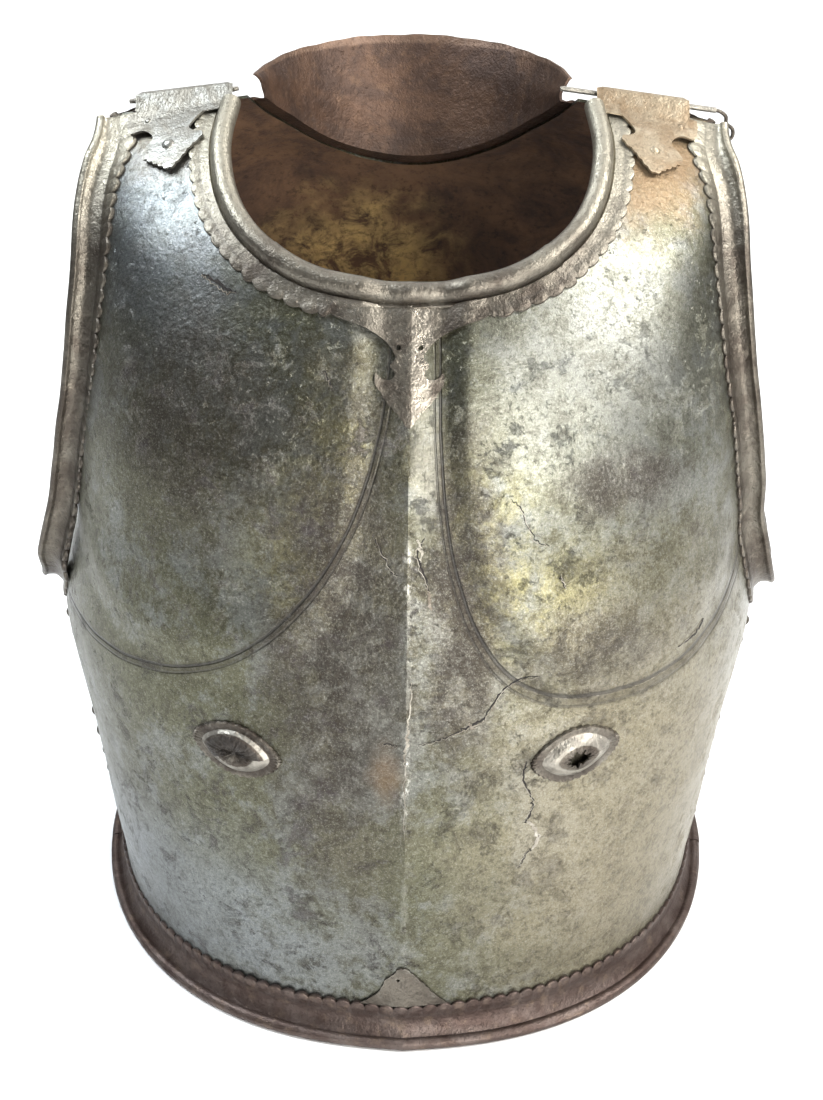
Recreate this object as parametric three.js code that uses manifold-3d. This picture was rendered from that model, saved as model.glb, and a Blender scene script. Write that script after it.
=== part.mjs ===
// A cuirass of sheet iron: breastplate and backplate with rolled borders, riveted sides, hinged shoulders,
// pull-out shoulder pins and a standing neck guard. Millimetres, +Z up, the wearer faces -Y.
import * as THREE from "three";
import { mergeVertices } from "three/addons/utils/BufferGeometryUtils.js";
import Module from "manifold-3d";

const wasm = await Module();
wasm.setup();

// ---------------------------------------------------------------- driving dimensions

const GAP = 0.35;
const PLATE_THICKNESS = 1.5;
const FITTING_THICKNESS = 1.4;
const BURIED = 0.6;
const CENTRE_SHIFT = 33.5;
const DEGREE = Math.PI / 180;

// Level sections through the torso: superellipses whose widest line runs at y = centreY.
const TORSO = namedRows(["z", "halfWidth", "centreY", "squareness", "frontDepth", "backDepth", "keel"], [
  [0, 165, 18, 2.25, 190, 65, 3],
  [40, 169, 18, 2.25, 192, 68, 5],
  [110, 178, 18, 2.27, 194, 78, 6],
  [196, 188, 18, 2.33, 187, 90, 6],
  [260, 176, 12, 2.35, 168, 104, 5.5],
  [320, 166, 6, 2.35, 148, 104, 4.5],
  [387, 157, 0, 2.35, 104, 80, 1],
  [418, 153, -1, 2.40, 63, 49, 0],
  [437, 149.5, -1, 2.40, 28, 23, 0],
  [448, 147.5, 0, 2.40, 2, 2, 0],
]);
const TOP = 448;

// The plates meet at the side seams, a little forward of the widest line.
const SEAM_Y = -12;

// The shoulders fall away outside the neck: each level section droops by this slope.
const DROOP = { start: 300, inside: 60, slope: 0.15 };

// Medial ridge of the breastplate: how fast it dies away to each side.
const KEEL_SPREAD = 30;

// Embossed breast muscles: a quarter ellipse below and inside the centre, with a soft step at its edge.
const PECTORAL = {
  centreX: 150, centreZ: 375, halfWidth: 141, halfHeight: 176, step: 18, rise: 3.6, fade: 40,
};

// Edge curves. The neck runs outward from the middle, the arm edge upward from the side seam.
const NECK_EDGE = namedRows(["x", "z"], [
  [0, 387], [21, 388], [41, 391], [56.5, 396.5], [69, 404.5],
  [77.5, 414], [82.5, 425], [84, 435], [82, 447.6],
]);
const SCOOP_EDGE = namedRows(["x", "z"], [
  [0, 388.5], [20, 391.5], [40, 400], [55, 411], [66, 423], [74, 434], [80, 447.2],
]);
const FRONT_ARM_EDGE = namedRows(["y", "z"], [
  [-13, 191], [-32, 195], [-44, 204], [-52, 220], [-56, 250], [-58, 290],
  [-58, 320], [-53.5, 355], [-45, 387], [-27, 418], [-13.5, 435], [-1.2, 447],
]);
const BACK_ARM_EDGE = namedRows(["y", "z"], [
  [-11, 191], [8, 192], [24, 198], [34, 209], [41, 226], [45, 250],
  [47, 290], [47, 320], [44, 355], [37, 387], [24, 418], [12, 435], [1.2, 447],
]);
// Where the plates stop under their borders, measured inward from each edge curve.
const PLATE_EDGE = { neck: 10.5, scoop: 0.2, arm: 2, seam: 0.4, bottom: 7 };
// Up to this share of the arm edge the plate may not cross the side seam.
const ARMPIT_SHARE = 0.3;

// Borders stop short of the hinge line, as a share of their edge curve.
const BORDER_END = 0.985;

// Border sections: t runs inward over the plate from the edge curve, h stands off its outer face.
const NECK_BORDER = {
  width: 22, top: 1.7, grooveT: 10.8,
  rollRadius: 5, rollCentre: [5, 1], rollFrom: 20, rollTo: 335, rollSteps: 6,
};
const ARM_BORDER_SECTION = [
  [10, -BURIED], [10, 1.6], [2.2, 1.8], [-0.6, 4.6], [-0.9, 8.4], [-0.3, 10.4], [-1.9, 12],
  [-4.1, 11.5], [-4.8, 9.3], [-3.2, 6.6], [-2.4, 2.6], [0.4, -0.9],
];
// The flange of the arm border leans outward above its foot, and grows from the armpit upward.
const ARM_FLANGE = { foot: 1.6, armpitShare: 0.35, growth: 14, lean: 0.5 };
// Hem section: lift off the plate and z, down the strip, round the roll and back up inside.
const BOTTOM_STRIP = [[-BURIED, 22], [1.6, 22], [1.8, 10.4], [4.4, 6.4]];
const BOTTOM_ROLL = { centreLift: 7.6, radius: 3.3, restAngle: 60, angles: [120, 60, 0, -60, -120] };
const BOTTOM_INSIDE = [[1.9, 5.4], [-BURIED, 8.4]];

// Finial of the neck border: half widths down the ridge.
const FINIAL = namedRows(["z", "halfWidth"], [
  [372, 30], [366, 15], [361, 10.5], [356, 8.5], [350, 12], [346, 13], [340, 8], [332, 0.8],
]);

// Riveted strips over the side seams.
const SIDE_STRIP = { low: 24.6, high: 178, reach: 10, rows: 8 };

// Shoulder hinges: the pin axis falls outward from its height at startX.
const HINGE = {
  startX: 85, startZ: 448, fall: 0.13, firstX: 93.5, lastX: 133.5, knuckles: 5, knuckleGap: 0.5,
};
const PIN = { eyeInnerX: 71, bendX: 147, plainInnerX: 84, plainOuterX: 137, wireRadius: 0.95, sides: 8 };
const BARREL = { radius: 3, bore: 1.9, pin: 1.4, tabReach: 6.5 };
const KNUCKLE_CLEAR = 5;
const KNUCKLE_ANGLES = [45, 90, 135, 180, 225, 270, 305];
// The wire eye on the right pin: x, y and the drop from the end of the pin.
const PIN_EYE = namedRows(["x", "y", "drop"], [
  [145, 0, 0.25], [149, 0, -0.6], [152, 0, -3], [152.6, 0.4, -6.5], [156, 1.2, -9.5], [156.2, 1.6, -13.5],
  [152.8, 1.9, -16], [149.2, 2.2, -14], [149, 2.5, -10.4], [151, 2.7, -8.3],
]);
const STRAP_LIFT = { under: 2.1, over: 3.6 };
const FRONT_STRAP = namedRows(["y", "inner", "outer"], [
  [4.3, 93.5, 136.5], [9, 95.5, 135.5], [14, 99.5, 133], [19, 103, 126], [24, 99.5, 122.5],
  [28, 99, 127.5], [33, 103, 121], [37, 106.5, 117], [41, 110.6, 112.6],
]);
const BACK_STRAP = namedRows(["y", "inner", "outer"], [
  [4.3, 93.5, 136.5], [14, 97, 131], [22, 101, 126], [30, 106, 119], [36, 110.6, 112.6],
]);

// Neck guard: the top rim is a half ellipse in plan, the foot lies on the backplate under the scoop.
// Its span is the turn in degrees to each end.
const GUARD = {
  halfWidth: 77, depth: 98, centreY: 3, rimZ: 452, foot: 17, endFoot: 0.3, crease: -6,
  thickness: 1.5, bow: 1.5, span: 83, outsideSpread: 0.9, outsideDrop: -0.3,
};
// The guard's section bends, so its flat ends are divided up on this straightened copy: across, along.
const GUARD_END = [[0, -9], [1, 0], [1, 1], [1, 2], [1, 3], [0, 3], [0, 2], [0, 1], [0, 0], [-1, -9]];

// Almond bosses on the belly, and the patch on the ridge above the hem.
const BOSS = {
  x: 81.5, z: 170, halfLength: 21, halfWidth: 10.5, pinch: 0.35, drop: 0.1, thickness: 1.2, sides: 14,
};
const BOSS_RINGS = namedRows(["size", "lift"], [[1, 1.7], [0.8, 1.9], [0.55, 4.4], [0.22, 6]]);
const PATCH = { low: 23, apexZ: 50, halfWidth: 22, apexHalfWidth: 0.8, thickness: 1.1, rows: 3 };

// Mesh densities.
const FRONT_GRID = { columns: 10, seamRows: 8, ridgeRows: 16, rows: 22 };
const BACK_GRID = { columns: 8, seamRows: 7, ridgeRows: 12, rows: 16 };
const WIRE = { sides: 6, steps: 22 };
const STATIONS = { neck: 26, frontArm: 16, backArm: 14, frontHem: 28, backHem: 22, guard: 20 };

// ---------------------------------------------------------------- small helpers

function namedRows(names, rows) {
  return rows.map((row) => Object.fromEntries(names.map((name, index) => [name, row[index]])));
}

function range(count, first, last) {
  return Array.from({ length: count + 1 }, (_, index) => first + ((last - first) * index) / count);
}

function smoothStep(value) {
  const t = Math.min(1, Math.max(0, value));
  return t * t * (3 - 2 * t);
}

// Smooth curve through a table column, with the slope of each row taken from its neighbours.
function tableValue(rows, column, z) {
  const last = rows.length - 1;
  const clamped = Math.min(rows[last].z, Math.max(rows[0].z, z));
  let low = 0;
  while (low < last - 1 && rows[low + 1].z < clamped) low += 1;
  const slope = (index) => {
    const before = rows[Math.max(0, index - 1)];
    const after = rows[Math.min(last, index + 1)];
    return (after[column] - before[column]) / (after.z - before.z);
  };
  const span = rows[low + 1].z - rows[low].z;
  const t = (clamped - rows[low].z) / span;
  const start = rows[low][column] * (1 + 2 * t) * (1 - t) ** 2 + slope(low) * span * t * (1 - t) ** 2;
  const end = rows[low + 1][column] * t * t * (3 - 2 * t) + slope(low + 1) * span * t * t * (t - 1);
  return start + end;
}

// ---------------------------------------------------------------- the torso surface

const FRONT = { outward: -1, armEdge: FRONT_ARM_EDGE };
const BACK = { outward: 1, armEdge: BACK_ARM_EDGE };

function sectionAt(z) {
  const section = { keel: 0 };
  for (const name of Object.keys(TORSO[0])) section[name] = tableValue(TORSO, name, z);
  section.frontDepth -= section.keel;
  return section;
}

function depthOf(section, outward) {
  return outward < 0 ? section.frontDepth : section.backDepth;
}

function angleAtX(x, z) {
  const section = sectionAt(z);
  const share = Math.min(1, Math.abs(x) / section.halfWidth);
  return Math.sign(x) * Math.asin(share ** (section.squareness / 2));
}

// Angle, from the middle of a face, at which its surface passes through this y.
function angleAtY(face, y, z) {
  const section = sectionAt(z);
  const forward = (y - section.centreY) * face.outward;
  const depth = depthOf(section, forward < 0 ? -face.outward : face.outward);
  const share = Math.min(1, Math.abs(forward) / depth) ** (section.squareness / 2);
  return Math.acos(Math.sign(forward) * share);
}

function seamAngle(face, distance, z) {
  return angleAtY(face, SEAM_Y + face.outward * distance, z);
}

// Height of the ridge and the breast muscles above the plain torso.
function relief(x, y, z, section) {
  if (y > section.centreY) return 0;
  const across = (PECTORAL.centreX - Math.abs(x)) / PECTORAL.halfWidth;
  const down = Math.max(0, PECTORAL.centreZ - z) / PECTORAL.halfHeight;
  const inside = (1 - Math.hypot(across, down)) * PECTORAL.centreX;
  const facing = smoothStep((section.centreY - y) / PECTORAL.fade);
  return section.keel * Math.exp(-Math.abs(x) / KEEL_SPREAD)
    + PECTORAL.rise * facing * smoothStep(inside / PECTORAL.step);
}

// A point of the torso: angle 0 is the middle of the face, a quarter turn its widest line.
function skin(face, angle, z, lift = 0) {
  const section = sectionAt(z);
  const { halfWidth, squareness, centreY } = section;
  const side = Math.sign(angle) || 1;
  const outward = Math.cos(angle) < 0 ? -face.outward : face.outward;
  const depth = depthOf(section, outward);
  const across = Math.abs(Math.sin(angle)) ** (2 / squareness);
  const forward = Math.abs(Math.cos(angle)) ** (2 / squareness);
  const x = side * halfWidth * across;
  const y = centreY + outward * depth * forward;
  const droopShare = smoothStep((z - DROOP.start) / (TOP - DROOP.start));
  const droopArm = Math.max(0, Math.abs(x) - DROOP.inside);
  const above = sectionAt(z + 0.5);
  const below = sectionAt(z - 0.5);
  const step = Math.min(TOP, z + 0.5) - Math.max(0, z - 0.5);
  const rate = (read) => (read(above) - read(below)) / step;
  const normal = new THREE.Vector3(
    (side * across ** (squareness - 1)) / halfWidth,
    (outward * forward ** (squareness - 1)) / depth,
    0,
  );
  normal.z -= (across ** squareness * rate((row) => row.halfWidth)) / halfWidth;
  normal.z -= (forward ** squareness * rate((row) => depthOf(row, outward))) / depth;
  normal.z -= normal.y * rate((row) => row.centreY);
  if (droopArm > 0) normal.x += side * normal.z * DROOP.slope * droopShare;
  const point = new THREE.Vector3(x, y, z - droopShare * DROOP.slope * droopArm);
  return point.addScaledVector(normal.normalize(), lift + relief(x, y, z, section));
}

// The same surface addressed from above, near the shoulders: x across and y measured from the hinge line.
function skinFromAbove(face, x, distance, lift) {
  let low = 380;
  let high = TOP;
  for (let pass = 0; pass < 30; pass += 1) {
    const middle = (low + high) / 2;
    const y = skin(face, angleAtX(x, middle), middle).y * face.outward;
    if (y > distance) low = middle;
    else high = middle;
  }
  return skin(face, angleAtX(x, low), low, lift);
}

// A station of an edge curve: where it is, and which way the plate and the open air lie.
function station(face, edge, share) {
  const at = (value) => edge.curve.getPoint(Math.min(1, Math.max(0, value)));
  const onSkin = (point) => skin(face, point.x * DEGREE, point.y);
  const step = 1e-3;
  const here = at(share);
  const angle = here.x * DEGREE;
  const z = here.y;
  const along = onSkin(at(share + step)).sub(onSkin(at(share - step))).normalize();
  const byAngle = skin(face, angle + step, z).sub(skin(face, angle - step, z)).divideScalar(2 * step);
  const byHeight = skin(face, angle, z + 0.5).sub(skin(face, angle, z - 0.5));
  const normal = byAngle.clone().cross(byHeight).normalize();
  if (normal.dot(skin(face, angle, z, 1).sub(skin(face, angle, z))) < 0) normal.negate();
  const inward = along.clone().cross(normal).normalize().multiplyScalar(edge.inwardSign);
  return { angle, z, normal, inward, byAngle, byHeight };
}

// Surface coordinates at distance t from a station, inward over the plate.
function stepInward(frame, t) {
  const { inward, byAngle, byHeight } = frame;
  const aa = byAngle.dot(byAngle);
  const hh = byHeight.dot(byHeight);
  const ah = byAngle.dot(byHeight);
  const da = inward.dot(byAngle);
  const dh = inward.dot(byHeight);
  const determinant = aa * hh - ah * ah;
  return {
    angle: frame.angle + (t * (da * hh - dh * ah)) / determinant,
    z: frame.z + (t * (dh * aa - da * ah)) / determinant,
  };
}

// Edge curves are splines over (angle in degrees, z). The neck runs from left to right, the arms upward.
function spline(points) {
  return new THREE.SplineCurve(points.map(([angle, z]) => new THREE.Vector2(angle, z)));
}

function neckEdge(face, rows) {
  const half = rows.map(({ x, z }) => [angleAtX(x, z) / DEGREE, z]);
  const mirrored = half.slice(1).reverse().map(([angle, z]) => [-angle, z]);
  return { curve: spline([...mirrored, ...half]), inwardSign: -face.outward };
}

function armEdge(face, side) {
  const points = face.armEdge.map(({ y, z }) => [(side * angleAtY(face, y, z)) / DEGREE, z]);
  return { curve: spline(points), inwardSign: side * face.outward };
}

// ---------------------------------------------------------------- solids

function geometryOf(points, triangles) {
  const geometry = new THREE.BufferGeometry();
  const positions = points.flatMap((point) => [point.x, point.y, point.z]);
  geometry.setAttribute("position", new THREE.Float32BufferAttribute(positions, 3));
  geometry.setIndex(triangles);
  return geometry;
}

function solidOf(points, triangles) {
  let volume = 0;
  for (let i = 0; i < triangles.length; i += 3) {
    const [a, b, c] = triangles.slice(i, i + 3).map((index) => points[index]);
    volume += a.dot(b.clone().cross(c));
  }
  const facing = volume > 0 ? triangles : triangles.slice().reverse();
  return toSolid(geometryOf(points, facing));
}

function toSolid(geometry) {
  const bare = geometry.clone();
  bare.deleteAttribute("normal");
  bare.deleteAttribute("uv");
  const merged = mergeVertices(bare, 1e-4);
  const mesh = new wasm.Mesh({
    numProp: 3,
    vertProperties: new Float32Array(merged.attributes.position.array),
    triVerts: new Uint32Array(merged.index.array),
  });
  return new wasm.Manifold(mesh);
}

function toGeometry(solid) {
  const mesh = solid.getMesh();
  const geometry = new THREE.BufferGeometry();
  geometry.setAttribute("position", new THREE.BufferAttribute(new Float32Array(mesh.vertProperties), 3));
  geometry.setIndex(new THREE.BufferAttribute(new Uint32Array(mesh.triVerts), 1));
  return geometry;
}

// A solid through rings of points: one closed section repeated along a path, with flat ends.
function sweep(rings, section) {
  const outline = section.map(([t, h]) => new THREE.Vector2(t, h));
  if (THREE.ShapeUtils.isClockWise(outline)) {
    return sweep(rings.map((ring) => ring.slice().reverse()), section.slice().reverse());
  }
  const count = outline.length;
  const last = (rings.length - 1) * count;
  const triangles = [];
  for (let ring = 0; ring < rings.length - 1; ring += 1) {
    for (let k = 0; k < count; k += 1) {
      const a = ring * count + k;
      const b = ring * count + ((k + 1) % count);
      triangles.push(a, b, a + count, b, b + count, a + count);
    }
  }
  for (const [a, b, c] of THREE.ShapeUtils.triangulateShape(outline, [])) {
    triangles.push(a, c, b, last + a, last + b, last + c);
  }
  return solidOf(rings.flat(), triangles);
}

// Faces of a curved sheet over a grid, between two lifts. Its first column is open for the first rows,
// where a mirrored half joins on.
function sheetFaces(columns, rows, openRows, place, under, over) {
  const stride = columns + 1;
  const layer = stride * (rows + 1);
  const points = [];
  for (const lift of [over, under]) {
    for (let row = 0; row <= rows; row += 1) {
      for (let column = 0; column <= columns; column += 1) points.push(place(column, row, lift));
    }
  }
  const triangles = [];
  const quad = (a, b, c, d) => triangles.push(a, b, c, a, c, d);
  for (let row = 0; row < rows; row += 1) {
    for (let column = 0; column < columns; column += 1) {
      const a = row * stride + column;
      quad(a, a + 1, a + 1 + stride, a + stride);
      quad(layer + a, layer + a + stride, layer + a + 1 + stride, layer + a + 1);
    }
    const left = row * stride;
    const right = left + columns;
    if (row >= openRows) quad(left, left + stride, layer + left + stride, layer + left);
    quad(right, layer + right, layer + right + stride, right + stride);
  }
  for (let column = 0; column < columns; column += 1) {
    const top = rows * stride + column;
    quad(column, layer + column, layer + column + 1, column + 1);
    quad(top, top + 1, layer + top + 1, layer + top);
  }
  return { points, triangles };
}

function sheet(columns, rows, place, under, over) {
  const { points, triangles } = sheetFaces(columns, rows, 0, place, under, over);
  return solidOf(points, triangles);
}

function largestBody(solid) {
  const bodies = solid.decompose();
  return bodies.reduce((best, body) => (body.volume() > best.volume() ? body : best));
}

// ---------------------------------------------------------------- breastplate and backplate

// Surface coordinates over half a plate, from a grid that follows the ridge, neck, seam and arm edges.
function plateGrid(face, grid, neckRows, neckInset, slack) {
  const neck = neckEdge(face, neckRows);
  const arm = armEdge(face, 1);
  const bottom = PLATE_EDGE.bottom - slack;
  const neckCoordinates = (share) => stepInward(station(face, neck, 0.5 + share / 2), neckInset - slack);
  const armCoordinates = (share) => stepInward(station(face, arm, share), PLATE_EDGE.arm - slack);
  const neckStart = neckCoordinates(0).z;
  const seamTop = face.armEdge[0].z - PLATE_EDGE.arm + slack;
  const innerAt = (row) => {
    if (row <= grid.ridgeRows) return { angle: 0, z: bottom + ((neckStart - bottom) * row) / grid.ridgeRows };
    return neckCoordinates((row - grid.ridgeRows) / (grid.rows - grid.ridgeRows));
  };
  const outerAt = (row) => {
    if (row <= grid.seamRows) {
      const z = bottom + ((seamTop - bottom) * row) / grid.seamRows;
      return { angle: seamAngle(face, PLATE_EDGE.seam - slack, z), z };
    }
    const share = (row - grid.seamRows) / (grid.rows - grid.seamRows);
    const place = armCoordinates(share);
    const limit = share < ARMPIT_SHARE ? seamAngle(face, PLATE_EDGE.seam - slack, place.z) : Math.PI;
    return { angle: Math.min(place.angle, limit), z: place.z };
  };
  const inner = range(grid.rows, 0, grid.rows).map(innerAt);
  const outer = range(grid.rows, 0, grid.rows).map(outerAt);
  return (column, row) => {
    const share = column / grid.columns;
    return {
      angle: inner[row].angle + (outer[row].angle - inner[row].angle) * share,
      z: inner[row].z + (outer[row].z - inner[row].z) * share,
    };
  };
}

// The two halves share the ridge below the neck and part on either side of the opening above it.
function plateSolid(face, grid, neckRows, neckInset, slack, under, over) {
  const coordinates = plateGrid(face, grid, neckRows, neckInset, slack);
  const place = (column, row, lift) => {
    const { angle, z } = coordinates(column, row);
    return skin(face, angle, z, lift);
  };
  const { points, triangles } = sheetFaces(grid.columns, grid.rows, grid.ridgeRows, place, under, over);
  const mirrored = points.map(({ x, y, z }) => new THREE.Vector3(-x, y, z));
  const turned = triangles.slice().reverse().map((index) => index + points.length);
  return solidOf([...points, ...mirrored], [...triangles, ...turned]);
}

const BREASTPLATE = [FRONT, FRONT_GRID, NECK_EDGE, PLATE_EDGE.neck];
const BACKPLATE = [BACK, BACK_GRID, SCOOP_EDGE, PLATE_EDGE.scoop];
const CUT_DEPTH = 8;
const breastplate = plateSolid(...BREASTPLATE, 0, -PLATE_THICKNESS, 0);
const backplate = plateSolid(...BACKPLATE, 0, -PLATE_THICKNESS, 0);
const frontCut = plateSolid(...BREASTPLATE, GAP, -CUT_DEPTH, GAP);
const backCut = plateSolid(...BACKPLATE, GAP, -CUT_DEPTH, GAP);

function clearOf(face, solid) {
  return largestBody(solid.subtract(face === FRONT ? frontCut : backCut));
}

// ---------------------------------------------------------------- borders

// Rings of a border section along an edge curve.
function borderRings(face, edge, shares, section, place) {
  return shares.map((share) => {
    const frame = station(face, edge, share);
    return section.map(([t, h]) => place(frame, t, h, share));
  });
}

function roundPoints([centreT, centreH], radius, angles) {
  return angles.map((angle) => [
    centreT + radius * Math.cos(angle * DEGREE),
    centreH + radius * Math.sin(angle * DEGREE),
  ]);
}

function neckBorder() {
  const { width, top, grooveT, rollRadius, rollCentre, rollFrom, rollTo, rollSteps } = NECK_BORDER;
  const roll = roundPoints(rollCentre, rollRadius, range(rollSteps, rollFrom, rollTo));
  const section = [[width, -BURIED], [width, top], [grooveT, top], ...roll];
  const shares = range(STATIONS.neck, 1 - BORDER_END, BORDER_END);
  const onSkin = (frame, t, h) => {
    const { angle, z } = stepInward(frame, t);
    return skin(FRONT, angle, z, h);
  };
  const rings = borderRings(FRONT, neckEdge(FRONT, NECK_EDGE), shares, section, onSkin);
  const columns = 4;
  const finial = sheet(columns, FINIAL.length - 1, (column, row, lift) => {
    const { z, halfWidth } = FINIAL[row];
    const x = halfWidth * ((2 * column) / columns - 1);
    return skin(FRONT, angleAtX(x, z), z, lift);
  }, -BURIED, top);
  return clearOf(FRONT, sweep(rings, section).add(finial));
}

// The flange leans outward from the arm hole and dies away at the armpit.
function armBorder(face, side, count) {
  const { foot, armpitShare, growth } = ARM_FLANGE;
  const leaned = (frame, t, h, share) => {
    const { angle, z } = stepInward(frame, t);
    const point = skin(face, angle, z, Math.min(h, foot));
    if (h <= foot) return point;
    const fade = armpitShare + (1 - armpitShare) * smoothStep(share * growth);
    const lean = frame.normal.clone();
    lean.x += ARM_FLANGE.lean * side;
    return point.addScaledVector(lean.normalize(), (h - foot) * fade);
  };
  const shares = range(count, 0, BORDER_END);
  const rings = borderRings(face, armEdge(face, side), shares, ARM_BORDER_SECTION, leaned);
  return clearOf(face, sweep(rings, ARM_BORDER_SECTION));
}

// The hem strip flares out to a roll whose flat underside is what the cuirass stands on.
function bottomBorder(face, count) {
  const { centreLift, radius, restAngle, angles } = BOTTOM_ROLL;
  const centreZ = radius * Math.sin(restAngle * DEGREE);
  const section = [...BOTTOM_STRIP, ...roundPoints([centreLift, centreZ], radius, angles), ...BOTTOM_INSIDE];
  const seam = seamAngle(face, GAP, 0);
  const rings = range(count, -seam, seam).map((angle) => section.map(([lift, z]) => {
    const point = skin(face, angle, z, lift);
    point.z = z;
    return point;
  }));
  return clearOf(face, sweep(rings, section));
}

// ---------------------------------------------------------------- side strips

function sideStrip(side) {
  const { low, high, reach, rows } = SIDE_STRIP;
  const strip = sheet(2, rows, (column, row, lift) => {
    const z = low + ((high - low) * row) / rows;
    return skin(FRONT, side * seamAngle(FRONT, reach * (1 - column), z), z, lift);
  }, -BURIED, FITTING_THICKNESS);
  return largestBody(strip.subtract(frontCut).subtract(backCut));
}

// ---------------------------------------------------------------- shoulder hinges

function hingeZ(x) {
  return HINGE.startZ - HINGE.fall * (x - HINGE.startX);
}

// A knuckle round the pin, with a tab that reaches down to its own strap.
function knuckle(face, side, startX, endX) {
  const section = roundPoints([0, 0], BARREL.radius, KNUCKLE_ANGLES);
  const outline = [[BARREL.tabReach, -5], [BARREL.tabReach, -3], ...section];
  const rings = [startX, endX].map((x) => {
    const tab = [STRAP_LIFT.under, STRAP_LIFT.over].map((lift) => (
      skinFromAbove(face, x, BARREL.tabReach, lift)));
    tab.forEach((point) => { point.x = x; });
    const barrel = section.map(([t, h]) => new THREE.Vector3(x, face.outward * t, hingeZ(x) + h));
    return [...tab, ...barrel].map((point) => new THREE.Vector3(side * point.x, point.y, point.z));
  });
  return sweep(rings, outline);
}

function hingeAxis(side, startX, endX) {
  const start = new THREE.Vector3(side * startX, 0, hingeZ(startX));
  const end = new THREE.Vector3(side * endX, 0, hingeZ(endX));
  return new THREE.LineCurve3(start, end);
}

function rod(path, radius, sides, steps) {
  const outline = range(sides - 1, 0, 360 - 360 / sides).map((angle) => new THREE.Vector2(
    radius * Math.cos(angle * DEGREE), radius * Math.sin(angle * DEGREE)));
  const shape = new THREE.Shape(outline);
  return toSolid(new THREE.ExtrudeGeometry(shape, { steps, extrudePath: path, bevelEnabled: false }));
}

function shoulderStrap(face, side, outline, columns) {
  const leaf = sheet(columns, outline.length - 1, (column, row, lift) => {
    const { y, inner, outer } = outline[row];
    const x = inner + ((outer - inner) * column) / columns;
    const point = skinFromAbove(face, x, y, lift);
    return new THREE.Vector3(side * point.x, point.y, point.z);
  }, STRAP_LIFT.under, STRAP_LIFT.over);
  const pitch = (HINGE.lastX - HINGE.firstX) / HINGE.knuckles;
  const own = face === FRONT ? 0 : 1;
  let strap = leaf;
  for (let index = own; index < HINGE.knuckles; index += 2) {
    const start = HINGE.firstX + index * pitch + HINGE.knuckleGap / 2;
    strap = strap.add(knuckle(face, side, start, start + pitch - HINGE.knuckleGap));
  }
  const boreAxis = hingeAxis(side, HINGE.firstX - KNUCKLE_CLEAR, HINGE.lastX + KNUCKLE_CLEAR);
  return largestBody(strap.subtract(rod(boreAxis, BARREL.bore, PIN.sides, 1)));
}

// The right pin ends in a small wire eye that hangs outside the shoulder, to pull it by.
function pinWithEye() {
  const shank = rod(hingeAxis(1, PIN.eyeInnerX, PIN.bendX), BARREL.pin, PIN.sides, 1);
  const bend = hingeZ(PIN.bendX);
  const eye = PIN_EYE.map(({ x, y, drop }) => new THREE.Vector3(x, y, bend + drop));
  const wire = rod(new THREE.CatmullRomCurve3(eye), PIN.wireRadius, WIRE.sides, WIRE.steps);
  return shank.add(wire);
}

function plainPin() {
  return rod(hingeAxis(-1, PIN.plainInnerX, PIN.plainOuterX), BARREL.pin, PIN.sides, 1);
}

// ---------------------------------------------------------------- neck guard, bosses and patch

function neckGuard() {
  const edge = neckEdge(BACK, SCOOP_EDGE);
  const turns = range(STATIONS.guard, -GUARD.span, GUARD.span);
  const rings = turns.map((turn) => {
    const frame = station(BACK, edge, 0.5 + turn / 180);
    const onPlate = (t, lift) => {
      const { angle, z } = stepInward(frame, t);
      return skin(BACK, angle, z, lift);
    };
    const spread = Math.sin(turn * DEGREE);
    const reach = Math.cos(turn * DEGREE);
    const over = GUARD.thickness + GAP;
    const foot = GUARD.foot * (GUARD.endFoot + (1 - GUARD.endFoot) * reach);
    const outside = new THREE.Vector3(spread * GUARD.outsideSpread, reach, GUARD.outsideDrop);
    outside.normalize().multiplyScalar(GUARD.thickness);
    const rim = new THREE.Vector3(
      GUARD.halfWidth * spread, GUARD.centreY + GUARD.depth * reach, GUARD.rimZ);
    const creaseIn = onPlate(GUARD.crease, 0);
    const middle = creaseIn.clone().lerp(rim, 0.5).addScaledVector(outside, -GUARD.bow / GUARD.thickness);
    return [
      onPlate(foot, over), onPlate(0, over), creaseIn.clone().add(outside), middle.clone().add(outside),
      rim.clone().add(outside), rim, middle, creaseIn, onPlate(0, -BURIED), onPlate(foot, -BURIED),
    ];
  });
  return clearOf(BACK, sweep(rings, GUARD_END));
}

// Almond plate with a hollow dome. The broken one is open at the top.
function boss(side, broken) {
  const { sides, halfLength, halfWidth } = BOSS;
  const place = (size, turn, lift) => {
    const along = Math.cos(turn);
    const a = halfLength * size * along;
    const b = halfWidth * size * Math.sin(turn) * (1 - BOSS.pinch * Math.abs(along));
    const x = side * (BOSS.x + a);
    const z = BOSS.z + b + BOSS.drop * a;
    return skin(FRONT, angleAtX(x, z), z, lift);
  };
  const points = [];
  for (const inset of [0, BOSS.thickness]) {
    for (const { size, lift } of BOSS_RINGS) {
      for (let k = 0; k < sides; k += 1) points.push(place(size, (2 * Math.PI * k) / sides, lift - inset));
    }
  }
  const layer = BOSS_RINGS.length * sides;
  const triangles = [];
  const quad = (a, b, c, d) => triangles.push(a, b, c, a, c, d);
  for (let k = 0; k < sides; k += 1) {
    const next = (k + 1) % sides;
    for (let ring = 0; ring < BOSS_RINGS.length - 1; ring += 1) {
      const row = ring * sides;
      quad(row + k, row + next, row + sides + next, row + sides + k);
      quad(layer + row + k, layer + row + sides + k, layer + row + sides + next, layer + row + next);
    }
    quad(k, layer + k, layer + next, next);
    const last = layer - sides;
    if (broken) quad(last + k, last + next, layer + last + next, layer + last + k);
    else if (k > 0 && k < sides - 1) {
      triangles.push(last, last + k, last + k + 1, layer + last, layer + last + k + 1, layer + last + k);
    }
  }
  return clearOf(FRONT, solidOf(points, triangles));
}

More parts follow.
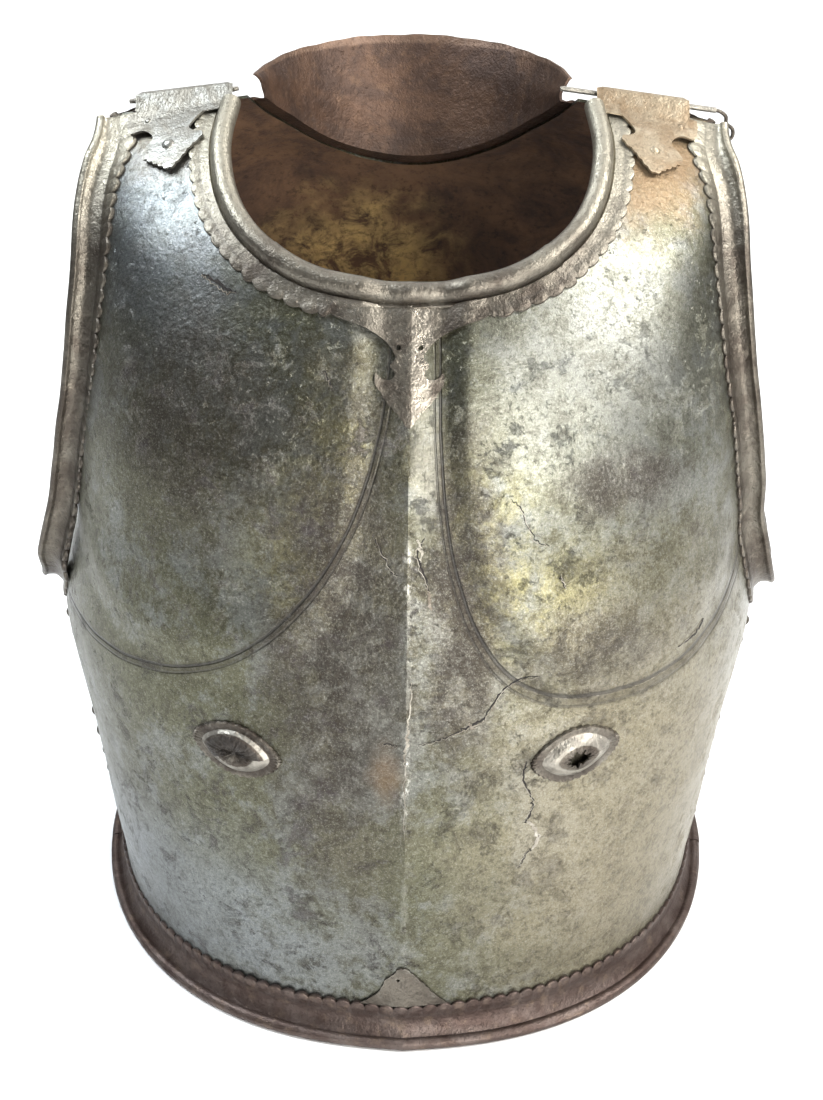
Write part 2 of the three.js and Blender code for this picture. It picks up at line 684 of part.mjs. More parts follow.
function patch() {
  const { low, apexZ, halfWidth, rows } = PATCH;
  return clearOf(FRONT, sheet(2, rows, (column, row, lift) => {
    const z = low + ((apexZ - low) * row) / rows;
    const x = (column - 1) * (halfWidth * (1 - row / rows) + PATCH.apexHalfWidth);
    return skin(FRONT, angleAtX(x, z), z, lift);
  }, -BURIED, PATCH.thickness));
}

// ---------------------------------------------------------------- the named parts

const group = new THREE.Group();

function add(name, solid, color) {
  const material = new THREE.MeshStandardMaterial({ color, roughness: 0.5, metalness: 0.9 });
  const mesh = new THREE.Mesh(toGeometry(solid), material);
  mesh.name = name;
  mesh.position.y = CENTRE_SHIFT;
  group.add(mesh);
}

add("breastplate", breastplate, 0x6d6b60);
add("backplate", backplate, 0x4a4238);
add("front_neck_border", neckBorder(), 0x6a6257);
add("front_bottom_border", bottomBorder(FRONT, STATIONS.frontHem), 0x6a5a48);
add("back_bottom_border", bottomBorder(BACK, STATIONS.backHem), 0x5a4a3a);
for (const [name, side] of [["right", 1], ["left", -1]]) {
  add("front_arm_border_" + name, armBorder(FRONT, side, STATIONS.frontArm), 0x6a6257);
  add("back_arm_border_" + name, armBorder(BACK, side, STATIONS.backArm), 0x5a4f43);
  add("side_strip_" + name, sideStrip(side), 0x5f584c);
  add("shoulder_strap_front_" + name, shoulderStrap(FRONT, side, FRONT_STRAP, 3), 0x746858);
  add("shoulder_strap_back_" + name, shoulderStrap(BACK, side, BACK_STRAP, 3), 0x5e5246);
  add("boss_" + name, boss(side, side > 0), 0x8a867a);
}
add("shoulder_pin_right", pinWithEye(), 0x8f8a80);
add("shoulder_pin_left", plainPin(), 0x8f8a80);
add("neck_guard", neckGuard(), 0x5c3f2c);
add("ridge_patch", patch(), 0x7a756a);
export default group;
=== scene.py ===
import math

import bpy
import bmesh
import numpy as np
from mathutils import Matrix, Vector
from mathutils.geometry import delaunay_2d_cdt


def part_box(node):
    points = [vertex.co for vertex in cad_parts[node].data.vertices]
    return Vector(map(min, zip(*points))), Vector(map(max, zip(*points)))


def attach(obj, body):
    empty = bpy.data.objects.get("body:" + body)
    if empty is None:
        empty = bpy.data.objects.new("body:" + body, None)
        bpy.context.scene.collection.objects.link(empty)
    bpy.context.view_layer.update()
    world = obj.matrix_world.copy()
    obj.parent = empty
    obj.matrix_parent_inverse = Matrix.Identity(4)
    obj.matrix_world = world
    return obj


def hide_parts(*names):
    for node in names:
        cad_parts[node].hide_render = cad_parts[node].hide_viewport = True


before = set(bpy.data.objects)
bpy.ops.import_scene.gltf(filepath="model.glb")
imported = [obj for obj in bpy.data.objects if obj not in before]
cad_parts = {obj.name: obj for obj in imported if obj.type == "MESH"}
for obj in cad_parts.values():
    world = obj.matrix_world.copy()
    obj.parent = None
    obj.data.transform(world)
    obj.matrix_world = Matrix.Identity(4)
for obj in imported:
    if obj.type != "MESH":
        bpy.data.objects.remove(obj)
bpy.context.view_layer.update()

# ---------------------------------------------------------------- sizes, in millimetres

MM = 0.001
FRONT, BACK = -1, 1
# The surface is worked out with y measured from the hinge line, which is this far behind the frame's origin.
CENTRE_SHIFT = 33.5
TOP = 448.0
SEAM_Y = -12.0
PLATE = 1.5
GAP = 0.35
KEEL_SPREAD = 30.0
# Toward the shoulders the surface drops with this slope, outside this distance from the middle.
DROOP_START, DROOP_INSIDE, DROOP_SLOPE = 300.0, 60.0, 0.15


def table(names, rows):
    """Columns by name."""
    return dict(zip(names.split(), np.array(rows, float).T))


TORSO = table("z half_width centre_y squareness front_depth back_depth keel", [
    [0, 165, 18, 2.25, 190, 65, 3],
    [40, 169, 18, 2.25, 192, 68, 5],
    [110, 178, 18, 2.27, 194, 78, 6],
    [196, 188, 18, 2.33, 187, 90, 6],
    [260, 176, 12, 2.35, 168, 104, 5.5],
    [320, 166, 6, 2.35, 148, 104, 4.5],
    [387, 157, 0, 2.35, 104, 80, 3.6],
    [418, 153, -1, 2.40, 63, 49, 0],
    [437, 149.5, -1, 2.40, 28, 23, 0],
    [448, 147.5, 0, 2.40, 2, 2, 0],
])
# The breast muscles end in part ellipses; the one on the +X side is drawn further in and is squarer.
PECTORAL = dict(z=375.0, half_height=176.0, step=15.0, rise=3.8, fade=40.0)
BREAST_LEFT = dict(x=150.0, half_width=141.0, power=2.0)
BREAST_RIGHT = dict(x=101.0, half_width=87.0, power=2.8)
NECK_EDGE = table("x z", [
    [0, 387], [21, 388], [41, 391], [56.5, 396.5], [69, 404.5],
    [77.5, 414], [82.5, 425], [84, 435], [82, 447.6],
])
SCOOP_EDGE = table("x z", [
    [0, 388.5], [20, 391.5], [40, 400], [55, 411], [66, 423], [74, 434], [80, 447.2],
])
ARM_EDGE = {
    FRONT: table("y z", [
        [-13, 191], [-32, 195], [-44, 204], [-52, 220], [-56, 250], [-58, 290],
        [-58, 320], [-53.5, 355], [-45, 387], [-27, 418], [-13.5, 435], [-1.2, 447],
    ]),
    BACK: table("y z", [
        [-11, 191], [8, 192], [24, 198], [34, 209], [41, 226], [45, 250],
        [47, 290], [47, 320], [44, 355], [37, 387], [24, 418], [12, 435], [1.2, 447],
    ]),
}


# ---------------------------------------------------------------- the torso surface

def smooth(value):
    t = np.clip(value, 0.0, 1.0)
    return t * t * (3 - 2 * t)


def hermite(knots, values, at):
    """Smooth curve through a table column, with each slope taken from the neighbours."""
    at = np.clip(at, knots[0], knots[-1])
    low = np.clip(np.searchsorted(knots, at) - 1, 0, len(knots) - 2)
    slopes = np.gradient(values, knots, edge_order=1)
    slopes[1:-1] = (values[2:] - values[:-2]) / (knots[2:] - knots[:-2])
    span = knots[low + 1] - knots[low]
    t = (at - knots[low]) / span
    start = values[low] * (1 + 2 * t) * (1 - t) ** 2 + slopes[low] * span * t * (1 - t) ** 2
    end = values[low + 1] * t * t * (3 - 2 * t) + slopes[low + 1] * span * t * t * (t - 1)
    return start + end


def unit(vectors):
    return vectors / np.linalg.norm(vectors, axis=-1, keepdims=True)


def length_along(points):
    """Distance from the first point to each of the others along the line through them."""
    return np.append(0, np.cumsum(np.linalg.norm(np.diff(points, axis=0), axis=1)))


def spline(knots, place):
    """A smooth curve through the knots; whole numbers of place are the knots themselves."""
    last = len(knots) - 1
    i = np.minimum(np.floor(place).astype(int), last)
    w = (place - i)[..., None]
    p0, p1 = knots[np.maximum(i - 1, 0)], knots[i]
    p2, p3 = knots[np.minimum(i + 1, last)], knots[np.minimum(i + 2, last)]
    v0, v1 = (p2 - p0) / 2, (p3 - p1) / 2
    return (2 * p1 - 2 * p2 + v0 + v1) * w ** 3 + (3 * p2 - 3 * p1 - 2 * v0 - v1) * w ** 2 + v0 * w + p1


def catmull(points, steps):
    """The curve through points, with this many steps from each to the next."""
    last = len(points) - 1
    return spline(np.asarray(points, float), np.linspace(0, 1, last * steps + 1) * last)


def section(z):
    """Width, depths, squareness and ridge of the torso at a height."""
    row = {name: hermite(TORSO["z"], TORSO[name], z) for name in TORSO if name != "z"}
    row["front_depth"] = row["front_depth"] - row["keel"]
    return row


def depth_of(row, outward):
    return np.where(outward < 0, row["front_depth"], row["back_depth"])


def angle_at_x(x, z):
    row = section(z)
    share = np.minimum(1, np.abs(x) / row["half_width"])
    return np.sign(x) * np.arcsin(share ** (row["squareness"] / 2))


def angle_at_y(outward, y, z):
    row = section(z)
    forward = (y - row["centre_y"]) * outward
    depth = depth_of(row, np.where(forward < 0, -outward, outward))
    share = np.minimum(1, np.abs(forward) / depth) ** (row["squareness"] / 2)
    return np.arccos(np.sign(forward) * share)


def seam_angle(outward, distance, z):
    return angle_at_y(outward, SEAM_Y + outward * distance, z)


def inside_pectoral(x, z):
    """Distance inside the outline of the breast muscle, in millimetres, negative outside."""
    centre, half_width, power = (np.where(x > 0, BREAST_RIGHT[key], BREAST_LEFT[key])
                                 for key in ("x", "half_width", "power"))
    across = np.abs(centre - np.abs(x)) / half_width
    down = np.maximum(0, PECTORAL["z"] - z) / PECTORAL["half_height"]
    return (1 - (across ** power + down ** power) ** (1 / power)) * centre


def relief(x, y, z, row):
    inside = inside_pectoral(x, z)
    facing = smooth((row["centre_y"] - y) / PECTORAL["fade"])
    mound = PECTORAL["rise"] * smooth(inside / PECTORAL["step"])
    ridge = row["keel"] * np.exp(-np.abs(x) / KEEL_SPREAD)
    return np.where(y > row["centre_y"], 0.0, ridge + facing * mound)


def skin(outward, angle, z, lift=0.0, plain=False):
    """A point of the torso: angle 0 is the middle of the face, and a quarter turn its widest line."""
    angle, z, lift = np.broadcast_arrays(np.asarray(angle, float), z, lift)
    row = section(z)
    n = row["squareness"]
    side = np.where(angle < 0, -1.0, 1.0)
    facing = np.where(np.cos(angle) < 0, -outward, outward)
    depth = depth_of(row, facing)
    across = np.abs(np.sin(angle)) ** (2 / n)
    forward = np.abs(np.cos(angle)) ** (2 / n)
    x = side * row["half_width"] * across
    y = row["centre_y"] + facing * depth * forward
    share = smooth((z - DROOP_START) / (TOP - DROOP_START))
    arm = np.maximum(0, np.abs(x) - DROOP_INSIDE)
    above, below = section(z + 0.5), section(z - 0.5)
    step = np.minimum(TOP, z + 0.5) - np.maximum(0, z - 0.5)
    normal_x = side * across ** (n - 1) / row["half_width"]
    normal_y = facing * forward ** (n - 1) / depth
    normal_z = -across ** n * (above["half_width"] - below["half_width"]) / step / row["half_width"]
    normal_z = normal_z - forward ** n * (depth_of(above, facing) - depth_of(below, facing)) / step / depth
    normal_z = normal_z - normal_y * (above["centre_y"] - below["centre_y"]) / step
    normal_x = normal_x + np.where(arm > 0, side * normal_z * DROOP_SLOPE * share, 0)
    normal = unit(np.stack([normal_x, normal_y, normal_z], -1))
    point = np.stack([x, y, z - share * DROOP_SLOPE * arm], -1)
    height = lift if plain else lift + relief(x, y, z, row) + dents(point)
    return point + normal * np.asarray(height)[..., None]


def dents(point):
    """Shallow unevenness left by the hammer, the same for every piece on the surface."""
    rng = np.random.default_rng(7)
    height = 0
    for wave, count, size in ((150, 6, 0.22), (60, 8, 0.10), (26, 10, 0.035)):
        for _ in range(count):
            direction = rng.normal(size=3)
            direction *= 2 * np.pi / wave / np.linalg.norm(direction)
            height = height + size * np.sin(point @ direction + rng.uniform(0, 2 * np.pi))
    return height * smooth((440 - point[..., 2]) / 60) * smooth(point[..., 2] / 40)


def skin_at(outward, x, z, lift=0.0):
    return skin(outward, angle_at_x(x, z), z, lift)


def skin_from_above(outward, x, distance, lift):
    """The surface near the shoulders: x across, and distance measured from the hinge line."""
    x, distance = np.broadcast_arrays(np.asarray(x, float), distance)
    low, high = np.full(x.shape, 380.0), np.full(x.shape, TOP)
    for _ in range(26):
        middle = (low + high) / 2
        beyond = skin(outward, angle_at_x(x, middle), middle, 0, True)[..., 1] * outward > distance
        low, high = np.where(beyond, middle, low), np.where(beyond, high, middle)
    return skin(outward, angle_at_x(x, low), low, lift)


class Edge:
    """An edge of a plate as a spline over (angle, z), with the way that the plate lies from it."""

    def __init__(self, outward, angles, z, inward_sign):
        self.outward, self.inward_sign = outward, inward_sign
        self.knots = np.stack([np.degrees(angles), z], -1)

    def at(self, share):
        point = spline(self.knots, np.clip(share, 0, 1) * (len(self.knots) - 1))
        return np.radians(point[..., 0]), point[..., 1]

    def even(self, spacing, first, last):
        """Shares at even distances along the edge, and those distances."""
        share = np.linspace(first, last, 900)
        run = length_along(skin(self.outward, *self.at(share), 0, True))
        distance = np.linspace(0, run[-1], max(2, round(run[-1] / spacing)) + 1)
        return np.interp(distance, run, share), distance

    def stations(self, share):
        """Surface coordinates, normal, and the change of coordinates for each millimetre inward."""
        face, tiny = self.outward, 1e-3
        angle, z = self.at(share)

        def on(a, h, lift=0.0):
            return skin(face, a, h, lift, True)

        along = unit(on(*self.at(share + tiny)) - on(*self.at(share - tiny)))
        by_angle = (on(angle + tiny, z) - on(angle - tiny, z)) / (2 * tiny)
        by_height = on(angle, z + 0.5) - on(angle, z - 0.5)
        normal = unit(np.cross(by_angle, by_height))
        flip = np.sum(normal * (on(angle, z, 1.0) - on(angle, z)), -1, keepdims=True) < 0
        normal = np.where(flip, -normal, normal)
        inward = unit(np.cross(along, normal) * self.inward_sign)
        aa, hh = np.sum(by_angle ** 2, -1), np.sum(by_height ** 2, -1)
        ah = np.sum(by_angle * by_height, -1)
        da, dh = np.sum(inward * by_angle, -1), np.sum(inward * by_height, -1)
        whole = aa * hh - ah * ah
        turn, climb = (da * hh - dh * ah) / whole, (dh * aa - da * ah) / whole
        return dict(angle=angle, z=z, normal=normal, turn=turn, climb=climb)


def step_inward(station, t):
    return station["angle"] + t * station["turn"], station["z"] + t * station["climb"]


def neck_edge(outward, rows):
    angles = angle_at_x(rows["x"], rows["z"])
    both = np.concatenate([-angles[:0:-1], angles])
    return Edge(outward, both, np.concatenate([rows["z"][:0:-1], rows["z"]]), -outward)


def arm_edge(outward, side):
    rows = ARM_EDGE[outward]
    return Edge(outward, side * angle_at_y(outward, rows["y"], rows["z"]), rows["z"], side * outward)


# ---------------------------------------------------------------- meshes

class Shape:
    """Points in millimetres and faces, gathered into one mesh. Each point has a wear value, which also
    carries painted shade and painted highlights.
    """

    def __init__(self):
        self.points, self.faces, self.slots, self.wear_and_shading, self.total = [], [], [], [], 0

    def add(self, points, faces, slot=0, wear_and_shading=0.5):
        points = np.asarray(points, float).reshape(-1, 3)
        self.points.append(points)
        self.wear_and_shading.append(np.broadcast_to(np.asarray(wear_and_shading, float).reshape(-1), len(points)))
        self.faces += [tuple(index + self.total for index in face) for face in faces]
        self.slots += [slot] * len(faces)
        self.total += len(points)

    def shell(self, over, under, open_rows=0, under_slot=0, wear_and_shading=0.5):
        """A closed sheet between two grids of points. Its first column is open for the first rows."""
        rows, columns = over.shape[:2]
        layer = rows * columns
        index = np.arange(layer).reshape(rows, columns)
        top = grid_faces(index)
        bottom = [(a + layer, d + layer, c + layer, b + layer) for a, b, c, d in top]
        rim = []
        for line in (index[open_rows:, 0], index[:, -1], index[0], index[-1]):
            rim += [(a, b, b + layer, a + layer) for a, b in zip(line[:-1].tolist(), line[1:].tolist())]
        worn = np.broadcast_to(wear_and_shading, (rows, columns)).reshape(-1)
        start = self.total
        self.add(np.concatenate([over, under]), top + rim, 0, np.concatenate([worn, worn]))
        self.faces += [tuple(i + start for i in face) for face in bottom]
        self.slots += [under_slot] * len(bottom)

    def swept(self, rings, wear_and_shading=0.5, capped=True):
        """Closed sections (stations, points, 3) joined along a path, with an end face at both ends."""
        count, around = rings.shape[:2]
        index = np.arange(count * around).reshape(count, around)
        faces = grid_faces(np.concatenate([index, index[:, :1]], 1))
        if capped:
            faces += [tuple(index[0].tolist()), tuple(index[-1][::-1].tolist())]
        self.add(rings, faces, 0, wear_and_shading)

    def dome(self, centre, normal, radius, height, sides=12, wear_and_shading=0.8):
        """The round head of a rivet."""
        normal = unit(np.asarray(normal))
        first = unit(np.cross(normal, [0.3, 0.5, 0.8]))
        second = np.cross(normal, first)
        turns = 2 * np.pi * np.arange(sides)[:, None] / sides
        rings = []
        for tilt in (-0.25, 0.0, 0.35, 0.75, 1.15, 1.45):
            spread, up = radius * (1.0 if tilt < 0 else math.cos(tilt)), height * math.sin(tilt)
            rings.append(centre + spread * (np.cos(turns) * first + np.sin(turns) * second) + up * normal)
        levels = np.linspace(0.15, wear_and_shading, len(rings))[:, None] * np.ones((1, sides))
        self.swept(np.array(rings), levels)

    def build(self, name, materials, node, slot, body="cuirass", sharp=32):
        """Make the piece, joined where points meet, and say what it rides on and replaces."""
        mesh = bpy.data.meshes.new(name)
        points = (np.concatenate(self.points) + [0, CENTRE_SHIFT, 0]) * MM
        mesh.from_pydata(points.tolist(), [], self.faces)
        mesh.polygons.foreach_set("material_index", self.slots)
        worn = mesh.attributes.new("wear_and_shading", "FLOAT", "POINT")
        worn.data.foreach_set("value", np.concatenate(self.wear_and_shading).astype(np.float32))
        mesh.update()
        work = bmesh.new()
        work.from_mesh(mesh)
        bmesh.ops.remove_doubles(work, verts=work.verts, dist=2e-6)
        bmesh.ops.recalc_face_normals(work, faces=work.faces)
        work.to_mesh(mesh)
        work.free()
        for face in mesh.polygons:
            face.use_smooth = True
        mesh.set_sharp_from_angle(angle=math.radians(sharp))
        for material in materials:
            mesh.materials.append(material)
        piece = bpy.data.objects.new(name, mesh)
        bpy.context.scene.collection.objects.link(piece)
        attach(piece, body)
        if node:
            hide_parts(node)
        return piece


def grid_faces(index):
    a, b, c, d = index[:-1, :-1], index[:-1, 1:], index[1:, 1:], index[1:, :-1]
    return np.stack([a, b, c, d], -1).reshape(-1, 4).tolist()


def tube_rings(path, radii, sides):
    """Rings round a path of points, turned as little as possible from one to the next."""
    ahead = unit(np.gradient(path, axis=0))
    first = np.cross(ahead[0], [0.1, 0.2, 1.0])
    turns = 2 * np.pi * np.arange(sides)[:, None] / sides
    rings = []
    for point, direction, radius in zip(path, ahead, np.broadcast_to(radii, len(path))):
        first = unit(first - direction * np.dot(first, direction))
        second = np.cross(direction, first)
        rings.append(point + radius * (np.cos(turns) * first + np.sin(turns) * second))
    return np.array(rings)


def beside(line):
    """Unit vectors to one side of a flat line."""
    ahead = unit(np.gradient(line, axis=0))
    return np.stack([ahead[:, 1], -ahead[:, 0]], -1)


def arc(x, y, radius, degrees):
    return [(x + radius * math.cos(a), y + radius * math.sin(a)) for a in np.radians(degrees)]


def ring(x, y, radius, sides, ragged=0.0, stretch=1.0, seed=1):
    """A closed loop, wider across by stretch and roughened by ragged."""
    rng = np.random.default_rng(seed)
    turns = 2 * np.pi * np.arange(sides) / sides
    reach = radius * (1 + ragged * rng.uniform(-1, 1, sides))
    return np.stack([x + reach * stretch * np.cos(turns), y + reach * np.sin(turns)], -1)


def inside_loop(loop, points):
    """Which points lie inside a closed outline."""
    x, y = points[:, 0], points[:, 1]
    inside = np.zeros(len(points), bool)
    for (ax, ay), (bx, by) in zip(loop, np.roll(loop, -1, axis=0)):
        crosses = (ay > y) != (by > y)
        with np.errstate(divide="ignore", invalid="ignore"):
            reach = (bx - ax) * (y - ay) / (by - ay) + ax
        inside ^= crosses & (x < reach)
    return inside


def leaf(shape, loops, spacing, place, lifts, wear_and_shading):
    """A thin cut-out plate: the first loop is its outline, the others are holes. Its rim is more worn."""
    outline, *holes = loops
    low, high = outline.min(0), outline.max(0)
    grid = np.meshgrid(np.arange(low[0], high[0], spacing), np.arange(low[1], high[1], spacing))
    fill = np.stack(grid, -1).reshape(-1, 2)

    def in_plate(points):
        inside = inside_loop(outline, points)
        for hole in holes:
            inside &= ~inside_loop(hole, points)
        return inside

    keep = in_plate(fill)
    for loop in loops:
        keep &= np.min(np.linalg.norm(fill[:, None] - loop[None], axis=2), axis=1) >= spacing * 0.45
    points = [Vector(point) for point in np.concatenate([*loops, fill[keep]]).tolist()]
    edges, start = [], 0
    for loop in loops:
        edges += [(start + k, start + (k + 1) % len(loop)) for k in range(len(loop))]
        start += len(loop)
    found, _, faces, *_ = delaunay_2d_cdt(points, edges, [], 0, 1e-5)
    flat = np.array([tuple(point) for point in found])
    middles = np.array([flat[list(face)].mean(0) for face in faces])
    faces = [tuple(face) for face, kept in zip(faces, in_plate(middles)) if kept]
    count = len(flat)
    sides = {(a, b) for face in faces for a, b in zip(face, face[1:] + face[:1])}
    rim = sorted((a, b) for a, b in sides if (b, a) not in sides)
    closed = faces + [tuple(i + count for i in face[::-1]) for face in faces]
    closed += [(b, a, a + count, b + count) for a, b in rim]
    over, under = (place(flat[:, 0], flat[:, 1], lift) for lift in lifts)
    worn = np.zeros(count) + (wear_and_shading(flat[:, 0]) if callable(wear_and_shading) else wear_and_shading)
    worn[[a for a, _ in rim]] += 0.18
    # the underside's points get low wear, so the lower half of the rim comes out dark: painted shade round
    # the plate
    shape.add(np.concatenate([over, under]), closed, 0, np.append(worn, np.full(count, 0.1)))


# ---------------------------------------------------------------- materials

class Value:
    """A shader output that further nodes are built on with ordinary arithmetic."""

    def __init__(self, shader, socket):
        self.shader, self.socket = shader, socket

    def __abs__(self):
        return self.shader.calc("ABSOLUTE", self)

    def __rsub__(self, other):
        return self.shader.calc("SUBTRACT", other, self)

    def __rtruediv__(self, other):
        return self.shader.calc("DIVIDE", other, self)


def arithmetic(operation):
    return lambda value, other: value.shader.calc(operation, value, other)


Value.__add__, Value.__sub__ = arithmetic("ADD"), arithmetic("SUBTRACT")
Value.__mul__, Value.__truediv__ = arithmetic("MULTIPLY"), arithmetic("DIVIDE")
Value.__pow__ = arithmetic("POWER")


class Shader:
    """The nodes of one material, with its colour as painted so far."""

    def __init__(self, name, colour):
        self.material = bpy.data.materials.new(name)
        self.material.use_nodes = True
        self.tree = self.material.node_tree
        self.place = self.node("ShaderNodeTexCoord", "Object")
        self.wear_and_shading = self.node("ShaderNodeAttribute", "Fac", attribute_name="wear_and_shading")
        self.colour = colour

    def fill(self, node, inputs):
        for key, value in dict(inputs).items():
            if isinstance(value, Value):
                self.tree.links.new(value.socket, node.inputs[key])
            else:
                node.inputs[key].default_value = value

    def node(self, kind, output, inputs=(), **settings):
        """Make a node, fill its inputs, given by name or by number, and return one of its outputs."""
        made = self.tree.nodes.new(kind)
        for name, value in settings.items():
            setattr(made, name, value)
        self.fill(made, inputs)
        return Value(self, made.outputs[output])

    def calc(self, operation, *values, clamp=False):
        return self.node("ShaderNodeMath", 0, enumerate(values), operation=operation, use_clamp=clamp)

    def most(self, first, *others):
        for other in others:
            first = self.calc("MAXIMUM", first, other)
        return first

    def axes(self):
        made = self.tree.nodes.new("ShaderNodeSeparateXYZ")
        self.fill(made, {0: self.place})
        return [Value(self, made.outputs[axis]) for axis in "XYZ"]

    def noise(self, scale, detail=4.0, roughness=0.55, distortion=0.0, offset=0.0, stretch=(1, 1, 1)):
        shift = (offset, offset * 0.7, -offset * 1.3)
        where = self.node("ShaderNodeMapping", 0, {"Location": shift, "Scale": stretch, "Vector": self.place})
        look = {"Scale": scale, "Detail": detail, "Roughness": roughness, "Distortion": distortion}
        return self.node("ShaderNodeTexNoise", "Fac", {"Vector": where, **look})

    def band(self, value, low, high):
        """0 below low and 1 above high, or the other way round if low is above high."""
        inputs = {"Value": value, "From Min": min(low, high), "From Max": max(low, high)}
        if low > high:
            inputs.update({"To Min": 1.0, "To Max": 0.0})
        return self.node("ShaderNodeMapRange", "Result", inputs, interpolation_type="SMOOTHSTEP")

    def spot(self, centre, radii, fade, ragged, strength=1.0):
        """Full strength round a place, in the frame's metres, falling to 0 at its radii."""
        apart = self.node("ShaderNodeVectorMath", 0, {0: self.place, 1: centre}, operation="SUBTRACT")
        share = self.node("ShaderNodeVectorMath", 0, {0: apart, 1: radii}, operation="DIVIDE")
        distance = self.node("ShaderNodeVectorMath", "Value", {0: share}, operation="LENGTH")
        lit = self.band(distance + (self.noise(38, 5, 0.6) - 0.5) * ragged, 1.0, fade)
        return lit if strength == 1.0 else lit * strength

    def coat(self, amount, colour):
        """Paint a colour over what is there so far."""
        layers = [c if isinstance(c, Value) else (*c, 1.0) for c in (self.colour, colour)]
        self.colour = self.node("ShaderNodeMix", 2, {0: amount, 6: layers[0], 7: layers[1]}, data_type="RGBA")

    def bump(self, height, distance, under=None):
        inputs = {"Strength": 1.0, "Distance": distance, "Height": height}
        if under:
            inputs["Normal"] = under
        return self.node("ShaderNodeBump", "Normal", inputs)

    def done(self, roughness, metallic, normal):
        look = {"Base Color": self.colour, "Roughness": roughness, "Metallic": metallic, "Normal": normal}
        self.fill(self.tree.nodes["Principled BSDF"], look)
        return self.material


def linear(red, green, blue):
    return tuple(((v / 255 + 0.055) / 1.055) ** 2.4 if v > 10 else v / 3294.6 for v in (red, green, blue))


def dimmed(colour, share):
    return tuple(v * share for v in colour)


SANDY_LIT_TOP = linear(158, 153, 138)


def rusty(name, base, dark, pale, metallic, rough, grain=1.0, rubbed_and_lit=0.5, top=None):
    """Iron with a mottled coat: blotches, fine speckle, pits, dirt and painted shade in the hollows and at
    hidden points, rubbed high places and painted highlights, and, if given, a paler top that is partly sandy
    rust and partly painted light.
    """
    base, dark, pale = (linear(*colour) for colour in (base, dark, pale))
    s = Shader(name, base)
    s.coat(s.band(s.noise(42, 5, 0.62, 0.6), 0.36, 0.64), dark)
    s.coat(s.band(s.noise(120, 6, 0.7, offset=3.1), 0.50, 0.72) * 0.6, pale)
    # painted light and rust: above about 0.42 m a paler sandy coat goes on, partly sandy rust by the
    # shoulders, partly painted light on the upper part
    if top:
        ragged_height = s.axes()[2] + s.noise(30, 4, 0.7, offset=6) * 0.06
        s.coat(s.band(ragged_height, 0.415, 0.47) * 0.85, top)
    speck = s.band(s.noise(650, 3, 0.6, offset=1.7), 0.52, 0.70)
    s.coat(speck * 0.45, dimmed(dark, 0.45))
    # low wear darkens a point: dirt in real hollows, and painted shade at a border's hidden edge, under
    # leaves and by the neck guard's crease
    hollow = s.band(s.wear_and_shading, 0.45, 0.05)
    s.coat(hollow * 0.85, dimmed(dark, 0.35))
    # high wear makes a point paler: rubbed high places, and the painted highlight on the finial's right half
    high = s.band(s.wear_and_shading + s.noise(160, 3, offset=5) * 0.3, 0.75, 1.05) * rubbed_and_lit
    s.coat(high, tuple(min(1, v * 1.7 + 0.05) for v in pale))
    shine = s.calc("SUBTRACT", s.noise(170, 4, offset=8) * 0.16 + (rough - 0.06), high * 0.2, clamp=True)
    metal = s.calc("SUBTRACT", metallic, hollow * 0.5, clamp=True)
    pits = s.band(s.noise(420, 4, 0.6, offset=2), 0.55, 0.75) * -0.6
    coarse = s.bump(s.noise(140, 4, 0.6, offset=4), 0.0007 * grain)
    return s.done(shine, metal, s.bump(s.noise(900, 3, 0.6) + pits, 0.00022 * grain, coarse))


def muscle_depth(s, x, z):
    """The distance that inside_pectoral gives, laid out as nodes."""
    on_right = s.band(x, -0.001, 0.001)
    centre, half_width, power = (on_right * (BREAST_RIGHT[key] - BREAST_LEFT[key]) + BREAST_LEFT[key]
                                 for key in ("x", "half_width", "power"))
    across = abs(centre - abs(x) / MM) / half_width
    down = s.most(PECTORAL["z"] * MM - z, 0) / (PECTORAL["half_height"] * MM)
    return (1.0 - (across ** power + down ** power) ** (1.0 / power)) * centre


